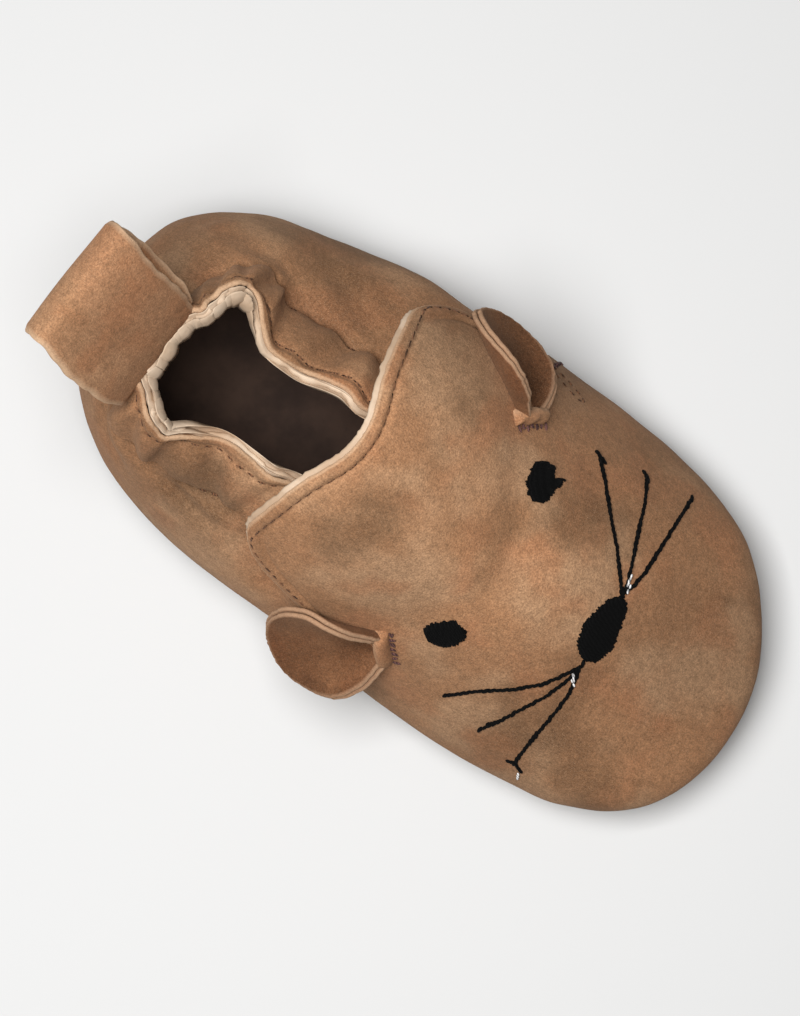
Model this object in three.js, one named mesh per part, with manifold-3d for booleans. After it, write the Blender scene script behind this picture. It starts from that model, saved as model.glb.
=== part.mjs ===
// A baby's soft suede shoe with a mouse face, for the left foot: a hollow upper with its tongue and
// elastic collar, a suede-wrapped midsole, a crepe outsole, an insole, two cupped ears and a pull loop at
// the heel. Millimetres. The toe points along +X, the wearer's left is +Y and +Z is up. Inside this file x
// runs from the back of the heel, and the group at the end moves the middle of the sole to the origin.
import * as THREE from "three";
import { mergeVertices } from "three/addons/utils/BufferGeometryUtils.js";
import Module from "manifold-3d";

const wasm = await Module();
wasm.setup();

// Overall sizes of the shoe
const shoeLength = 135;
const ballWidth = 67;
const toeSpring = 3;
const heelSpring = 1.2;

// Heights above the feather edge, where the upper meets the sole
const instepRise = 61.5;
const heelRise = 47.2;
const bulgeRise = 4.8;

// Thicknesses
const outsoleThickness = 3.2;
const midsoleThickness = 4.7;
const insoleThickness = 1.5;
const upperWall = 1.9;
const vampStep = 1.2;
const gap = 0.3;

// How far each sole piece and the upper's lower edge stand in from the upper's outline
const featherTuck = 1.7;
const midsoleInset = 1.0;
const midsoleRoll = 1.1;
const outsoleInset = 2.8;
const outsoleHeelInset = 3.0;
const outsoleBevel = 0.7;
const insoleClearance = 1.4;

// Side seam, tongue and collar
const sideSeamX = 70;
const seamLap = 6;
const seamRelease = 15;
const tongueEndX = 56;
const tongueCornerX = 49.4;
const bandPuff = 1.3;
const gatherDepth = 10;
const heelSeamHeight = 1.7;
const heelSeamWidth = 2.4;

// Ears
const earLength = 20.5;
const earWidth = 19.5;
const earThickness = 2.2;
const earRootWidth = 6;
const earCup = 1.7;
const earStandoff = 4.2;
const earBend = 2.5;
const earDroop = 0.22;
const earSweep = 29;
const earTilt = 36;

// Pull loop
const loopWidth = 21.5;
const loopReach = 25.5;
const loopBelly = 6.4;
const loopThickness = 1.7;
const loopPitch = 53;
const loopTail = 7;
const loopTailWidth = 9;
const loopY = -9.8;

const deg = Math.PI / 180;
const heelCentreX = 30;
const toeCentreX = 104;
const featherHeight = outsoleThickness + gap + midsoleThickness + gap;
const halfBall = ballWidth / 2;

// Plan outline at the upper's widest. along is a share of the shoe's length from the heel, and left and
// right are shares of half the ball width. The end rows give where the heel and toe lie across the shoe.
const outlineRows = [
  { along: 0.012, left: -0.03, right: 0.03 },
  { along: 0.026, left: 0.33, right: 0.38 },
  { along: 0.052, left: 0.49, right: 0.56 },
  { along: 0.112, left: 0.68, right: 0.76 },
  { along: 0.212, left: 0.82, right: 0.91 },
  { along: 0.35, left: 0.945, right: 0.965 },
  { along: 0.526, left: 1.01, right: 0.965 },
  { along: 0.7, left: 1.015, right: 0.95 },
  { along: 0.805, left: 0.955, right: 0.89 },
  { along: 0.875, left: 0.835, right: 0.82 },
  { along: 0.945, left: 0.565, right: 0.65 },
  { along: 0.985, left: 0.28, right: 0.41 },
  { along: 1.0, left: -0.075, right: 0.075 },
];

// Sections of the last. ridge is the height of the top line and bulge that of the widest line, both above
// the feather edge, as shares of the instep's rise and of the bulge's rise. lean is how far the top line
// lies to the left, as a share of half the ball width. crest and flank are the roundness at top and side.
const lastRows = [
  { along: 0.0, ridge: 1.1, bulge: 1.35, lean: -0.19, crest: 2.0, flank: 2.0 },
  { along: 0.24, ridge: 1.08, bulge: 1.1, lean: -0.175, crest: 2.0, flank: 2.0 },
  { along: 0.33, ridge: 1.04, bulge: 1.0, lean: -0.15, crest: 1.75, flank: 3.0 },
  { along: 0.415, ridge: 1.0, bulge: 1.0, lean: -0.085, crest: 1.8, flank: 2.6 },
  { along: 0.484, ridge: 0.915, bulge: 1.0, lean: -0.07, crest: 1.95, flank: 2.0 },
  { along: 0.54, ridge: 0.828, bulge: 1.0, lean: -0.07, crest: 1.95, flank: 1.6 },
  { along: 0.595, ridge: 0.727, bulge: 1.0, lean: -0.07, crest: 1.85, flank: 1.42 },
  { along: 0.65, ridge: 0.634, bulge: 1.0, lean: -0.06, crest: 1.8, flank: 1.35 },
  { along: 0.705, ridge: 0.556, bulge: 0.98, lean: -0.045, crest: 1.8, flank: 1.35 },
  { along: 0.77, ridge: 0.449, bulge: 0.9, lean: -0.025, crest: 1.85, flank: 1.45 },
  { along: 0.843, ridge: 0.325, bulge: 0.8, lean: -0.03, crest: 2.0, flank: 1.7 },
  { along: 0.898, ridge: 0.252, bulge: 0.7, lean: -0.045, crest: 2.2, flank: 2.0 },
  { along: 0.95, ridge: 0.197, bulge: 0.6, lean: -0.06, crest: 2.4, flank: 2.3 },
  { along: 1.0, ridge: 0.165, bulge: 0.5, lean: -0.075, crest: 2.6, flank: 2.6 },
];
const toePower = 2.7;
const heelPower = 2.0;

// The elastic collar. along is where its ray leaves the outline. stitch and mouth are how far the band's
// lower stitch line and its upper edge lie out from the spine, as shares of half the ball width, and
// stitchRise and mouthRise are their heights as shares of the heel's rise.
const collarRows = [
  { along: 0.0, stitch: 0.43, stitchRise: 0.765, mouth: 0.31, mouthRise: 1.0 },
  { along: 0.05, stitch: 0.48, stitchRise: 0.755, mouth: 0.36, mouthRise: 0.995 },
  { along: 0.1, stitch: 0.56, stitchRise: 0.735, mouth: 0.42, mouthRise: 0.985 },
  { along: 0.148, stitch: 0.59, stitchRise: 0.71, mouth: 0.42, mouthRise: 0.965 },
  { along: 0.2, stitch: 0.56, stitchRise: 0.68, mouth: 0.365, mouthRise: 0.92 },
  { along: 0.26, stitch: 0.52, stitchRise: 0.65, mouth: 0.285, mouthRise: 0.87 },
  { along: 0.31, stitch: 0.52, stitchRise: 0.635, mouth: 0.28, mouthRise: 0.84 },
  { along: 0.35, stitch: 0.53, stitchRise: 0.625, mouth: 0.295, mouthRise: 0.83 },
  { along: 0.39, stitch: 0.53, stitchRise: 0.615, mouth: 0.27, mouthRise: 0.82 },
  { along: 0.44, stitch: 0.6, stitchRise: 0.605, mouth: 0.39, mouthRise: 0.79 },
  { along: 0.48, stitch: 0.69, stitchRise: 0.59, mouth: 0.57, mouthRise: 0.7 },
  { along: 0.53, stitch: 0.81, stitchRise: 0.56, mouth: 0.75, mouthRise: 0.6 },
];

// Gathers of the elastic collar. around runs from the left side seam (0) by the heel (0.5) to the right one
// (1). push is how far the edge moves into the opening, as a share of the gathers' depth, and spread is its
// reach round the collar.
const gatherRows = [
  { around: 0.13, push: 0.08, spread: 0.03 },
  { around: 0.225, push: 0.13, spread: 0.03 },
  { around: 0.3, push: -0.12, spread: 0.03 },
  { around: 0.42, push: 0.08, spread: 0.025 },
  { around: 0.66, push: 0.1, spread: 0.025 },
  { around: 0.745, push: -0.24, spread: 0.026 },
  { around: 0.8, push: 0.1, spread: 0.026 },
  { around: 0.89, push: -0.07, spread: 0.03 },
];

// The tongue's free edge. Along its side, girth is where the edge lies between the widest line (0) and the
// ridge (1). Across its end, back is a share of the way from the end of the ridge to the corners.
const tongueSideRows = [
  { along: 0.0, girth: 0.31 },
  { along: 0.4, girth: 0.335 },
  { along: 0.7, girth: 0.36 },
  { along: 0.88, girth: 0.395 },
  { along: 1.0, girth: 0.445 },
];
const tongueEndRows = [
  { across: 0.0, back: 0.0 },
  { across: 0.12, back: 0.04 },
  { across: 0.24, back: 0.18 },
  { across: 0.45, back: 0.54 },
  { across: 0.78, back: 0.89 },
  { across: 0.92, back: 1.0 },
  { across: 1.0, back: 0.86 },
];

// Each ear. along and girth are where on the vamp it is sewn, as shares of the shoe's length and of the way
// up the wall. sweep turns it outwards from straight back and tilt lays its face back, as shares of the
// ears' own values.
const earRows = [
  { node: "ear_left", side: 1, along: 0.558, girth: 0.585, sweep: 0.78, tilt: 0.6 },
  { node: "ear_right", side: -1, along: 0.567, girth: 0.484, sweep: 1.0, tilt: 1.0 },
];

// Smooth value of a table's column, through its rows.
function valueAt(rows, key, column, at) {
  const last = rows.length - 1;
  const clamped = Math.min(Math.max(at, rows[0][key]), rows[last][key]);
  let i = 0;
  while (i < last - 1 && rows[i + 1][key] < clamped) i++;
  const slope = (a, b) => (rows[b][column] - rows[a][column]) / (rows[b][key] - rows[a][key]);
  const tangent = (k) => slope(Math.max(k - 1, 0), Math.min(k + 1, last));
  const span = rows[i + 1][key] - rows[i][key];
  const t = (clamped - rows[i][key]) / span;
  const ease = t * t * (3 - 2 * t);
  const leave = t * (1 - t) * (1 - t) * span * tangent(i);
  const arrive = t * t * (1 - t) * span * tangent(i + 1);
  return rows[i][column] * (1 - ease) + rows[i + 1][column] * ease + leave - arrive;
}

const smooth = (t) => {
  const c = Math.min(Math.max(t, 0), 1);
  return c * c * (3 - 2 * c);
};

const lastValue = (column, x) => valueAt(lastRows, "along", column, x / shoeLength);

// Rise of the sole's underside off the floor at each end.
function spring(x) {
  const toe = Math.max(0, (x / shoeLength - 0.72) / 0.28);
  const heel = Math.max(0, 1 - x / (0.12 * shoeLength));
  return toeSpring * toe * toe + heelSpring * heel * heel;
}

// The outline as a closed curve through the table's rows.
function outlineCurve() {
  const at = (row, share) => new THREE.Vector3(row.along * shoeLength, share * halfBall, 0);
  const leftSide = outlineRows.map((row) => at(row, row.left));
  const rightSide = outlineRows.slice(1, -1).map((row) => at(row, -row.right));
  const loop = [...leftSide, ...rightSide.reverse()];
  return new THREE.CatmullRomCurve3(loop, true, "centripetal").getPoints(420);
}
const outline = outlineCurve();

// The spine under the top line, from which the sections are measured out.
const spineY = (x) => halfBall * lastValue("lean", x);

// A ray in plan from the spine to the outline, at an angle from +X. It holds where both ends lie.
function castRay(spineX, angle) {
  const spine = new THREE.Vector2(spineX, spineY(spineX));
  const way = new THREE.Vector2(Math.cos(angle * deg), Math.sin(angle * deg));
  let reach = 0;
  for (let i = 0; i + 1 < outline.length; i++) {
    const a = outline[i];
    const b = outline[i + 1];
    const before = way.x * (a.y - spine.y) - way.y * (a.x - spine.x);
    const after = way.x * (b.y - spine.y) - way.y * (b.x - spine.x);
    if (before * after > 0 || before === after) continue;
    const t = before / (before - after);
    const hit = new THREE.Vector2(a.x + (b.x - a.x) * t, a.y + (b.y - a.y) * t);
    reach = Math.max(reach, hit.sub(spine).dot(way));
  }
  const foot = spine.clone().addScaledVector(way, reach);
  const toeShare = Math.max(0, (foot.x - toeCentreX) / (shoeLength - toeCentreX));
  const heelShare = Math.max(0, (heelCentreX - foot.x) / heelCentreX);
  return { spine, way, foot, reach, toeShare, heelShare };
}

// Rays along one side from one spine position to another, and rays round an end of the shoe.
function evenly(from, to, count) {
  return Array.from({ length: count + 1 }, (_, i) => from + ((to - from) * i) / count);
}

function sideRays(fromX, toX, angle, count) {
  return evenly(fromX, toX, count).map((x) => castRay(x, angle));
}

function endRays(centreX, fromAngle, toAngle, count) {
  return evenly(fromAngle, toAngle, count).map((angle) => castRay(centreX, angle));
}

// Roundness of the wall at the top (crest) and at the side (flank) on a ray.
function roundness(ray, column) {
  const side = lastValue(column, ray.spine.x);
  const toe = (toePower - side) * smooth(ray.toeShare);
  const heel = (heelPower - side) * smooth(ray.heelShare);
  return side + toe + heel;
}

// A point of the upper's wall on a ray. girth runs from the feather edge (-1) by the widest line (0) to the
// spine (1), where the wall would reach the height crown above the feather edge.
function wallPoint(ray, girth, crownAt) {
  const phi = (Math.max(girth, 0) * Math.PI) / 2;
  const share = girth >= 1 ? 0 : Math.pow(Math.cos(phi), 2 / roundness(ray, "crest"));
  const lift = Math.pow(Math.sin(phi), 2 / roundness(ray, "flank"));
  const tuck = girth < 0 ? featherTuck * girth * girth : 0;
  const plan = ray.spine.clone().addScaledVector(ray.way, ray.reach * share - tuck);
  const bulge = bulgeRise * lastValue("bulge", ray.foot.x);
  const low = girth < 0 ? bulge * (1 + girth) : bulge;
  const rise = low + (crownAt(plan.x) - bulge) * lift;
  return new THREE.Vector3(plan.x, plan.y, featherHeight + rise + spring(plan.x));
}

const ridgeAt = (x) => instepRise * lastValue("ridge", x);

// The collar on a ray: the girth of its stitch line, the crown that this line's height asks for, and the
// band's edge.
function collarOn(ray) {
  const at = (column) => valueAt(collarRows, "along", column, ray.foot.x / shoeLength);
  const share = (at("stitch") * halfBall) / ray.reach;
  const phi = Math.acos(Math.pow(share, roundness(ray, "crest") / 2));
  const lift = Math.pow(Math.sin(phi), 2 / roundness(ray, "flank"));
  const bulge = bulgeRise * lastValue("bulge", ray.foot.x);
  const crown = bulge + (at("stitchRise") * heelRise - bulge) / lift;
  const plan = ray.spine.clone().addScaledVector(ray.way, at("mouth") * halfBall);
  const edge = new THREE.Vector3(plan.x, plan.y, featherHeight + at("mouthRise") * heelRise);
  return { girth: phi / (Math.PI / 2), crown, edge };
}

// Meshes: faces between rows of points, welded where points coincide
function gridFaces(columns) {
  const faces = [];
  for (let i = 0; i + 1 < columns.length; i++) {
    const [here, next] = [columns[i], columns[i + 1]];
    for (let j = 0; j + 1 < here.length; j++) {
      faces.push([here[j], next[j], next[j + 1]]);
      faces.push([here[j], next[j + 1], here[j + 1]]);
    }
  }
  return faces;
}

function weld(faces) {
  const geometry = new THREE.BufferGeometry().setFromPoints(faces.flat());
  const merged = mergeVertices(geometry, 1e-3);
  const index = Array.from(merged.index.array);
  const kept = [];
  for (let i = 0; i < index.length; i += 3) {
    const [a, b, c] = index.slice(i, i + 3);
    if (a !== b && b !== c && c !== a) kept.push(a, b, c);
  }
  merged.setIndex(kept);
  return merged;
}

// A sheet given by its outer faces, made solid: its inner side lies a wall's thickness in along the
// normals.
function thicken(faces, wall, lift = 0) {
  const sheet = weld(faces);
  sheet.computeVertexNormals();
  const position = sheet.attributes.position;
  const normal = sheet.attributes.normal;
  const vector = (attribute, i) => new THREE.Vector3().fromBufferAttribute(attribute, i);
  const point = (i, offset) => vector(position, i).addScaledVector(vector(normal, i), offset);
  const index = Array.from(sheet.index.array);
  const edges = new Map();
  const solid = [];
  for (let i = 0; i < index.length; i += 3) {
    const corners = index.slice(i, i + 3);
    solid.push(corners.map((k) => point(k, lift)));
    solid.push(corners.map((k) => point(k, lift - wall)).reverse());
    corners.forEach((k, n) => {
      const next = corners[(n + 1) % 3];
      if (!edges.delete(next + "_" + k)) edges.set(k + "_" + next, [k, next]);
    });
  }
  for (const [a, b] of edges.values()) {
    const [outerA, outerB] = [point(a, lift), point(b, lift)];
    const [innerA, innerB] = [point(a, lift - wall), point(b, lift - wall)];
    solid.push([outerB, outerA, innerA], [outerB, innerA, innerB]);
  }
  return solidOf(weld(solid));
}

// Solids for joining and cutting
function solidOf(geometry) {
  const bare = new THREE.BufferGeometry().setAttribute("position", geometry.attributes.position);
  if (geometry.index) bare.setIndex(geometry.index);
  const merged = mergeVertices(bare, 1e-4);
  const made = new wasm.Manifold(
    new wasm.Mesh({
      numProp: 3,
      vertProperties: new Float32Array(merged.attributes.position.array),
      triVerts: new Uint32Array(merged.index.array),
    }),
  );
  return made;
}

function geometryOf(solid) {
  const made = solid.getMesh();
  return new THREE.BufferGeometry()
    .setAttribute("position", new THREE.BufferAttribute(new Float32Array(made.vertProperties), 3))
    .setIndex(new THREE.BufferAttribute(new Uint32Array(made.triVerts), 1));
}

const largest = (solid) => solid.decompose().sort((a, b) => b.volume() - a.volume())[0];

// Vamp: from the side seams round the toe, with the tongue carried back from its upper part
const lowerGirths = [-1, -0.55, 0, 0.12, 0.24];
const seamGirth = tongueSideRows[0].girth;
const upperShares = [1, 0.84, 0.67, 0.5, 0.33, 0.16, 0];
const vampGirths = [...lowerGirths, ...upperShares.map((share) => 1 - (1 - seamGirth) * share)];

function vampFaces() {
  const rays = [
    ...sideRays(sideSeamX, toeCentreX, -90, 9),
    ...endRays(toeCentreX, -90, 90, 22).slice(1, -1),
    ...sideRays(toeCentreX, sideSeamX, 90, 9),
  ];
  return gridFaces(rays.map((ray) => vampGirths.map((girth) => wallPoint(ray, girth, ridgeAt))));
}

function tongueFaces(side) {
  const columns = [];
  const count = 8;
  for (let i = 0; i <= count; i++) {
    const along = i / count;
    const edge = valueAt(tongueSideRows, "along", "girth", along);
    columns.push(
      upperShares.map((share) => {
        const back = valueAt(tongueEndRows, "across", "back", share);
        const endX = tongueEndX + (tongueCornerX - tongueEndX) * back;
        const ray = castRay(sideSeamX + (endX - sideSeamX) * along, 90 * side);
        return wallPoint(ray, 1 - (1 - edge) * share, ridgeAt);
      }),
    );
  }
  return gridFaces(side > 0 ? columns : columns.reverse());
}

// Quarters: from under one side seam round the heel to the other, ending in the gathered elastic collar
const wallShares = [0, 0.2, 0.4, 0.58, 0.75, 0.89, 1];
const bandShares = [0.12, 0.3, 0.5, 0.7, 0.88, 1];
const seamTopGirth = 0.37;

function quarterFaces() {
  const rays = [
    ...sideRays(sideSeamX + seamLap, heelCentreX, 90, 14),
    ...endRays(heelCentreX, 90, 270, 32).slice(1, -1),
    ...sideRays(heelCentreX, sideSeamX + seamLap, 270, 14),
  ];
  const lengths = rays.map((ray, i) => (i ? ray.foot.distanceTo(rays[i - 1].foot) : 0));
  const total = lengths.reduce((sum, step) => sum + step, 0);
  let walked = 0;
  const columns = rays.map((ray, i) => {
    walked += lengths[i];
    return quarterColumn(ray, walked / total);
  });
  return gridFaces(columns);
}

// One line up the quarter. Under the side seam it follows the vamp, a step lower. Behind the seam it rises
// to the stitch line and then goes on as the puffed band.
function quarterColumn(ray, around) {
  const collar = collarOn(ray);
  const out = new THREE.Vector3(ray.way.x, ray.way.y, 0);
  const seat = wallPoint(ray, collar.girth, () => collar.crown);
  const band = collar.edge.clone().sub(seat);
  const puffWay = out.clone().multiplyScalar(band.z).setZ(-band.dot(out)).normalize();
  const pushOf = (row) => row.push * Math.exp(-(((around - row.around) / row.spread) ** 2));
  const push = gatherRows.reduce((sum, row) => sum + pushOf(row), 0);
  const wall = [-1, -0.55, ...wallShares.map((share) => collar.girth * share)];
  const own = wall.map((girth) => wallPoint(ray, girth, () => collar.crown));
  for (const share of bandShares) {
    const puff = bandPuff * Math.pow(Math.sin(Math.PI * share), 0.7);
    const fold = -push * gatherDepth * share * share;
    const point = seat.clone().addScaledVector(band, share);
    own.push(point.addScaledVector(puffWay, puff).addScaledVector(out, fold));
  }
  const free = smooth((sideSeamX - ray.foot.x) / seamRelease);
  const step = -vampStep * (1 - smooth((sideSeamX - ray.foot.x) / (2 * seamRelease)));
  const rows = own.length - 1;
  return own.map((point, row) => {
    const girth = row < 2 ? wall[row] : (seamTopGirth * (row - 2)) / (rows - 2);
    const under = wallPoint(ray, girth, ridgeAt);
    return under.lerp(point, free).addScaledVector(out, step).setZ(under.z + step * smooth(girth * 2));
  });
}

// The heel seam stands out from the back of the wall as a thin raised edge. It lies in the upright plane
// through the spine's end and the rearmost point of the outline.
const heelFoot = new THREE.Vector2(outlineRows[0].along * shoeLength, outlineRows[0].left * halfBall);
const heelWay = heelFoot.sub(new THREE.Vector2(heelCentreX, spineY(heelCentreX)));
const heelAngle = Math.atan2(heelWay.y, heelWay.x) / deg;

function heelSeam(grow = 0) {
  const ray = castRay(heelCentreX, heelAngle);
  const reachOf = (point) => new THREE.Vector2(point.x, point.y).sub(ray.spine).dot(ray.way);
  const profile = quarterColumn(ray, 0.5).map((point) => new THREE.Vector2(reachOf(point), point.z));
  const [before, top] = profile.slice(-2);
  profile.push(top.clone().addScaledVector(top.clone().sub(before).normalize(), 0.05 + 2 * grow));
  const edge = offsetLine(profile, heelSeamHeight + grow);
  const shape = new THREE.Shape([...edge, ...offsetLine(profile, -upperWall / 2).reverse()]);
  const width = heelSeamWidth + 2 * grow;
  const strip = new THREE.ExtrudeGeometry(shape, { depth: width, bevelEnabled: false });
  strip.translate(0, 0, -width / 2).rotateX(90 * deg).rotateZ(heelAngle * deg);
  strip.translate(ray.spine.x, ray.spine.y, 0);
  return solidOf(strip);
}

// A line of plane points moved sideways, to the right of its own direction.
function offsetLine(line, offset) {
  return line.map((point, i) => {
    const before = line[Math.max(i - 1, 0)];
    const after = line[Math.min(i + 1, line.length - 1)];
    const along = after.clone().sub(before).normalize();
    return new THREE.Vector2(point.x + along.y * offset, point.y - along.x * offset);
  });
}

function upperSolid(grow = 0) {
  const wall = upperWall + 2 * grow;
  const vamp = thicken([...vampFaces(), ...tongueFaces(1), ...tongueFaces(-1)], wall, grow);
  const quarters = thicken(quarterFaces(), wall, grow);
  return vamp.add(quarters).add(heelSeam(grow));
}

// Sole pieces: a closed profile on every ray, from the spine below to the spine above
function soleRays() {
  return [
    ...sideRays(heelCentreX, toeCentreX, -90, 14),
    ...endRays(toeCentreX, -90, 90, 22).slice(1, -1),
    ...sideRays(toeCentreX, heelCentreX, 90, 14),
    ...endRays(heelCentreX, 90, 270, 22).slice(1),
  ];
}

function soleSolid(profile) {
  const columns = soleRays().map((ray) => {
    const steps = profile(ray);
    const at = (inset, height) => {
      const plan = ray.spine.clone().addScaledVector(ray.way, ray.reach - inset);
      return new THREE.Vector3(plan.x, plan.y, height + spring(plan.x));
    };
    const [lowest, highest] = [steps[0].height, steps[steps.length - 1].height];
    const rim = steps.map((step) => at(step.inset, step.height));
    const below = [0, 0.35, 0.7].map((share) => at(ray.reach * (1 - share), lowest));
    const above = [0.7, 0.35, 0].map((share) => at(ray.reach * (1 - share), highest));
    return [...below, ...rim, ...above];
  });
  return solidOf(weld(gridFaces(columns)));
}

function outsoleSolid() {
  return soleSolid((ray) => {
    const inset = outsoleInset + outsoleHeelInset * smooth(ray.heelShare);
    return [
      { inset: inset + outsoleBevel, height: 0 },
      { inset, height: outsoleBevel },
      { inset, height: outsoleThickness },
    ];
  });
}

function midsoleSolid() {
  const bottom = outsoleThickness + gap;
  const turns = [-90, -60, -30, 0, 30, 60, 90];
  return soleSolid(() =>
    turns.map((turn) => ({
      inset: midsoleInset + midsoleRoll * (1 - Math.cos(turn * deg)),
      height: bottom + (midsoleThickness / 2) * (1 + Math.sin(turn * deg)),
    })),
  );
}

function insoleSolid() {
  const inset = featherTuck + upperWall + insoleClearance;
  const bottom = featherHeight;
  return soleSolid(() => [
    { inset, height: bottom },
    { inset, height: bottom + insoleThickness },
  ]);
}

// An ear: a narrow neck standing out of the vamp that bends back into a round cupped petal, cut clear of
// the upper. Each row across it has its distance along the ear, its height off the vamp, its half width and
// the depth of its cup.
function earSolid(row) {
  const root = wallPoint(castRay(row.along * shoeLength, 90 * row.side), row.girth, ridgeAt);
  const sweep = earSweep * row.sweep * deg;
  const tilt = earTilt * row.tilt * deg;
  const along = new THREE.Vector3(-Math.cos(sweep), row.side * Math.sin(sweep), -earDroop).normalize();
  const down = new THREE.Vector3(0, row.side * Math.sin(tilt), -Math.cos(tilt));
  down.addScaledVector(along, -down.dot(along)).normalize();
  const face = new THREE.Vector3().crossVectors(along, down).multiplyScalar(-row.side);
  const halfAt = (a) => Math.hypot(earWidth * Math.sqrt(a * (1 - a)), (earRootWidth / 2) * (1 - a) ** 2);
  const neck = [{ away: 0, height: -upperWall, half: earRootWidth / 2, cup: 0 }];
  for (let turn = 0; turn <= 72; turn += 18) {
    const away = earBend * (1 - Math.cos(turn * deg));
    const height = earStandoff - earBend * (1 - Math.sin(turn * deg));
    neck.push({ away, height, half: halfAt(away / earLength), cup: 0 });
  }
  const petal = evenly(0, Math.PI, 10).map((turn) => {
    const share = (1 - Math.cos(turn)) / 2;
    const away = earBend + (earLength - earBend) * share;
    const cup = earCup * smooth(4 * share) * smooth(4 * (1 - share));
    return { away, height: earStandoff, half: halfAt(away / earLength), cup };
  });
  const columns = [...neck, ...petal].map(({ away, height, half, cup }) =>
    evenly(-1, 1, 10).map((b) => {
      const point = root.clone().addScaledVector(along, away).addScaledVector(down, half * b);
      return point.addScaledVector(face, height - cup * (1 - b * b));
    }),
  );
  return thicken(gridFaces(row.side > 0 ? columns : columns.reverse()), earThickness);
}

// The pull loop: a strap bent into a teardrop that stands up behind the collar, its tail inside the heel
function loopSolid() {
  const rear = collarOn(castRay(heelCentreX, 180)).edge;
  const half = loopThickness / 2;
  const root = new THREE.Vector2(rear.x + upperWall + 2 * gap + half, rear.z + 2 * gap + half);
  const back = new THREE.Vector2(-Math.cos(loopPitch * deg), Math.sin(loopPitch * deg));
  const upwards = new THREE.Vector2(Math.sin(loopPitch * deg), Math.cos(loopPitch * deg));
  const drop = (first, count) =>
    evenly(first, 1 - first, count).map((t) => {
      const reach = loopReach * Math.sin(Math.PI * t);
      const belly = loopBelly * Math.sin(2 * Math.PI * t);
      return root.clone().addScaledVector(back, reach).addScaledVector(upwards, belly);
    });
  const shape = new THREE.Shape(offsetLine(drop(0.02, 40), half));
  shape.holes.push(new THREE.Path(offsetLine(drop(0.045, 36), -half)));
  const extrude = (flat, width) => {
    const strap = new THREE.ExtrudeGeometry(flat, { depth: width, bevelEnabled: false });
    return solidOf(strap.rotateX(90 * deg).translate(0, loopY + width / 2, 0));
  };
  const tail = new THREE.Shape([
    new THREE.Vector2(root.x - half, root.y - loopTail),
    new THREE.Vector2(root.x + half, root.y - loopTail),
    new THREE.Vector2(root.x + half, root.y + loopThickness),
    new THREE.Vector2(root.x - half, root.y + loopThickness),
  ]);
  return extrude(shape, loopWidth).add(extrude(tail, loopTailWidth));
}

// Materials
const finish = (color, roughness) => new THREE.MeshStandardMaterial({ color, roughness, metalness: 0 });
const suede = finish(0xb08a68, 0.95);
const darkSuede = finish(0x99765a, 0.95);
const crepe = finish(0xa98f4a, 0.8);
const sockLeather = finish(0xb89a7c, 0.7);

// Assembly
const shoe = new THREE.Group();
shoe.position.x = -shoeLength / 2;

function addPiece(name, solid, material) {
  const mesh = new THREE.Mesh(geometryOf(solid), material);
  mesh.name = name;
  shoe.add(mesh);
}

const keepClear = upperSolid(gap);
addPiece("outsole", outsoleSolid(), crepe);
addPiece("wrapped_midsole", midsoleSolid(), darkSuede);
addPiece("insole", insoleSolid(), sockLeather);
addPiece("upper", upperSolid(), suede);
earRows.forEach((row) => addPiece(row.node, largest(earSolid(row).subtract(keepClear)), suede));
addPiece("pull_loop", largest(loopSolid().subtract(keepClear)), suede);

export default shoe;
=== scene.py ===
"""A baby's soft suede shoe with a mouse face, for the left foot: the leather, lining, crepe and thread that
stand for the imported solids.

Shapes are worked out in millimetres, with x from the back of the heel towards the toe, y to the wearer's
left and z up from the floor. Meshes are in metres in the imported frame, whose origin is under the middle of
the sole.
"""

import math
import random

import bmesh
import bpy
import numpy as np
from mathutils import Matrix, Vector, noise
from mathutils.bvhtree import BVHTree
from mathutils.kdtree import KDTree


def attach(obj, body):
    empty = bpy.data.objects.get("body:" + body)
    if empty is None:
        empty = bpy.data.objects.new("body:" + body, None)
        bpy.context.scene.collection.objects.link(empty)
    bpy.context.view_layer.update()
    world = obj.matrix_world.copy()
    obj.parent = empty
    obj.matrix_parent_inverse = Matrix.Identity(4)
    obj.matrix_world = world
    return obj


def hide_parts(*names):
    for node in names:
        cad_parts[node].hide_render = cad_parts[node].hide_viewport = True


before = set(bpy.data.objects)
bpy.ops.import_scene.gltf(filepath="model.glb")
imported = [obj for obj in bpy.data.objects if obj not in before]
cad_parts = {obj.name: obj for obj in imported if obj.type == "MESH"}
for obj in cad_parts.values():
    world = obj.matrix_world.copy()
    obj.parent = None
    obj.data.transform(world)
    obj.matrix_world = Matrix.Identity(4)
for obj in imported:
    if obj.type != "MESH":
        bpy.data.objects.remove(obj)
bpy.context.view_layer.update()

# Sizes of the shoe
SHOE_LENGTH = 135.0
HALF_BALL = 33.5
TOE_SPRING = 3.0
HEEL_SPRING = 1.2
INSTEP_RISE = 61.5
HEEL_RISE = 47.2
BULGE_RISE = 4.8
OUTSOLE = 3.2
MIDSOLE = 4.7
INSOLE = 1.5
GAP = 0.3
FEATHER = OUTSOLE + MIDSOLE + 2 * GAP
SUEDE_PLY = 1.05
LINING_PLY = 0.8
COLLAR_LINING_PLY = 1.3
VAMP_STEP = 1.2
FEATHER_TUCK = 1.7
MIDSOLE_INSET = 1.0
MIDSOLE_ROLL = 1.1
OUTSOLE_INSET = 2.8
OUTSOLE_HEEL_INSET = 3.0
INSOLE_INSET = 5.0
SEAM_X = 70.0
SEAM_LAP = 6.0
SEAM_RELEASE = 15.0
TONGUE_END_X = 56.0
TONGUE_CORNER_X = 49.4
BAND_PUFF = 1.3
BEAD_RISE = 0.3
GROOVE_DEPTH = 0.5
EDGE_STITCH = 2.4
GATHER_DEPTH = 10.0
HEEL_SEAM_HEIGHT = 1.7
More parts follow.
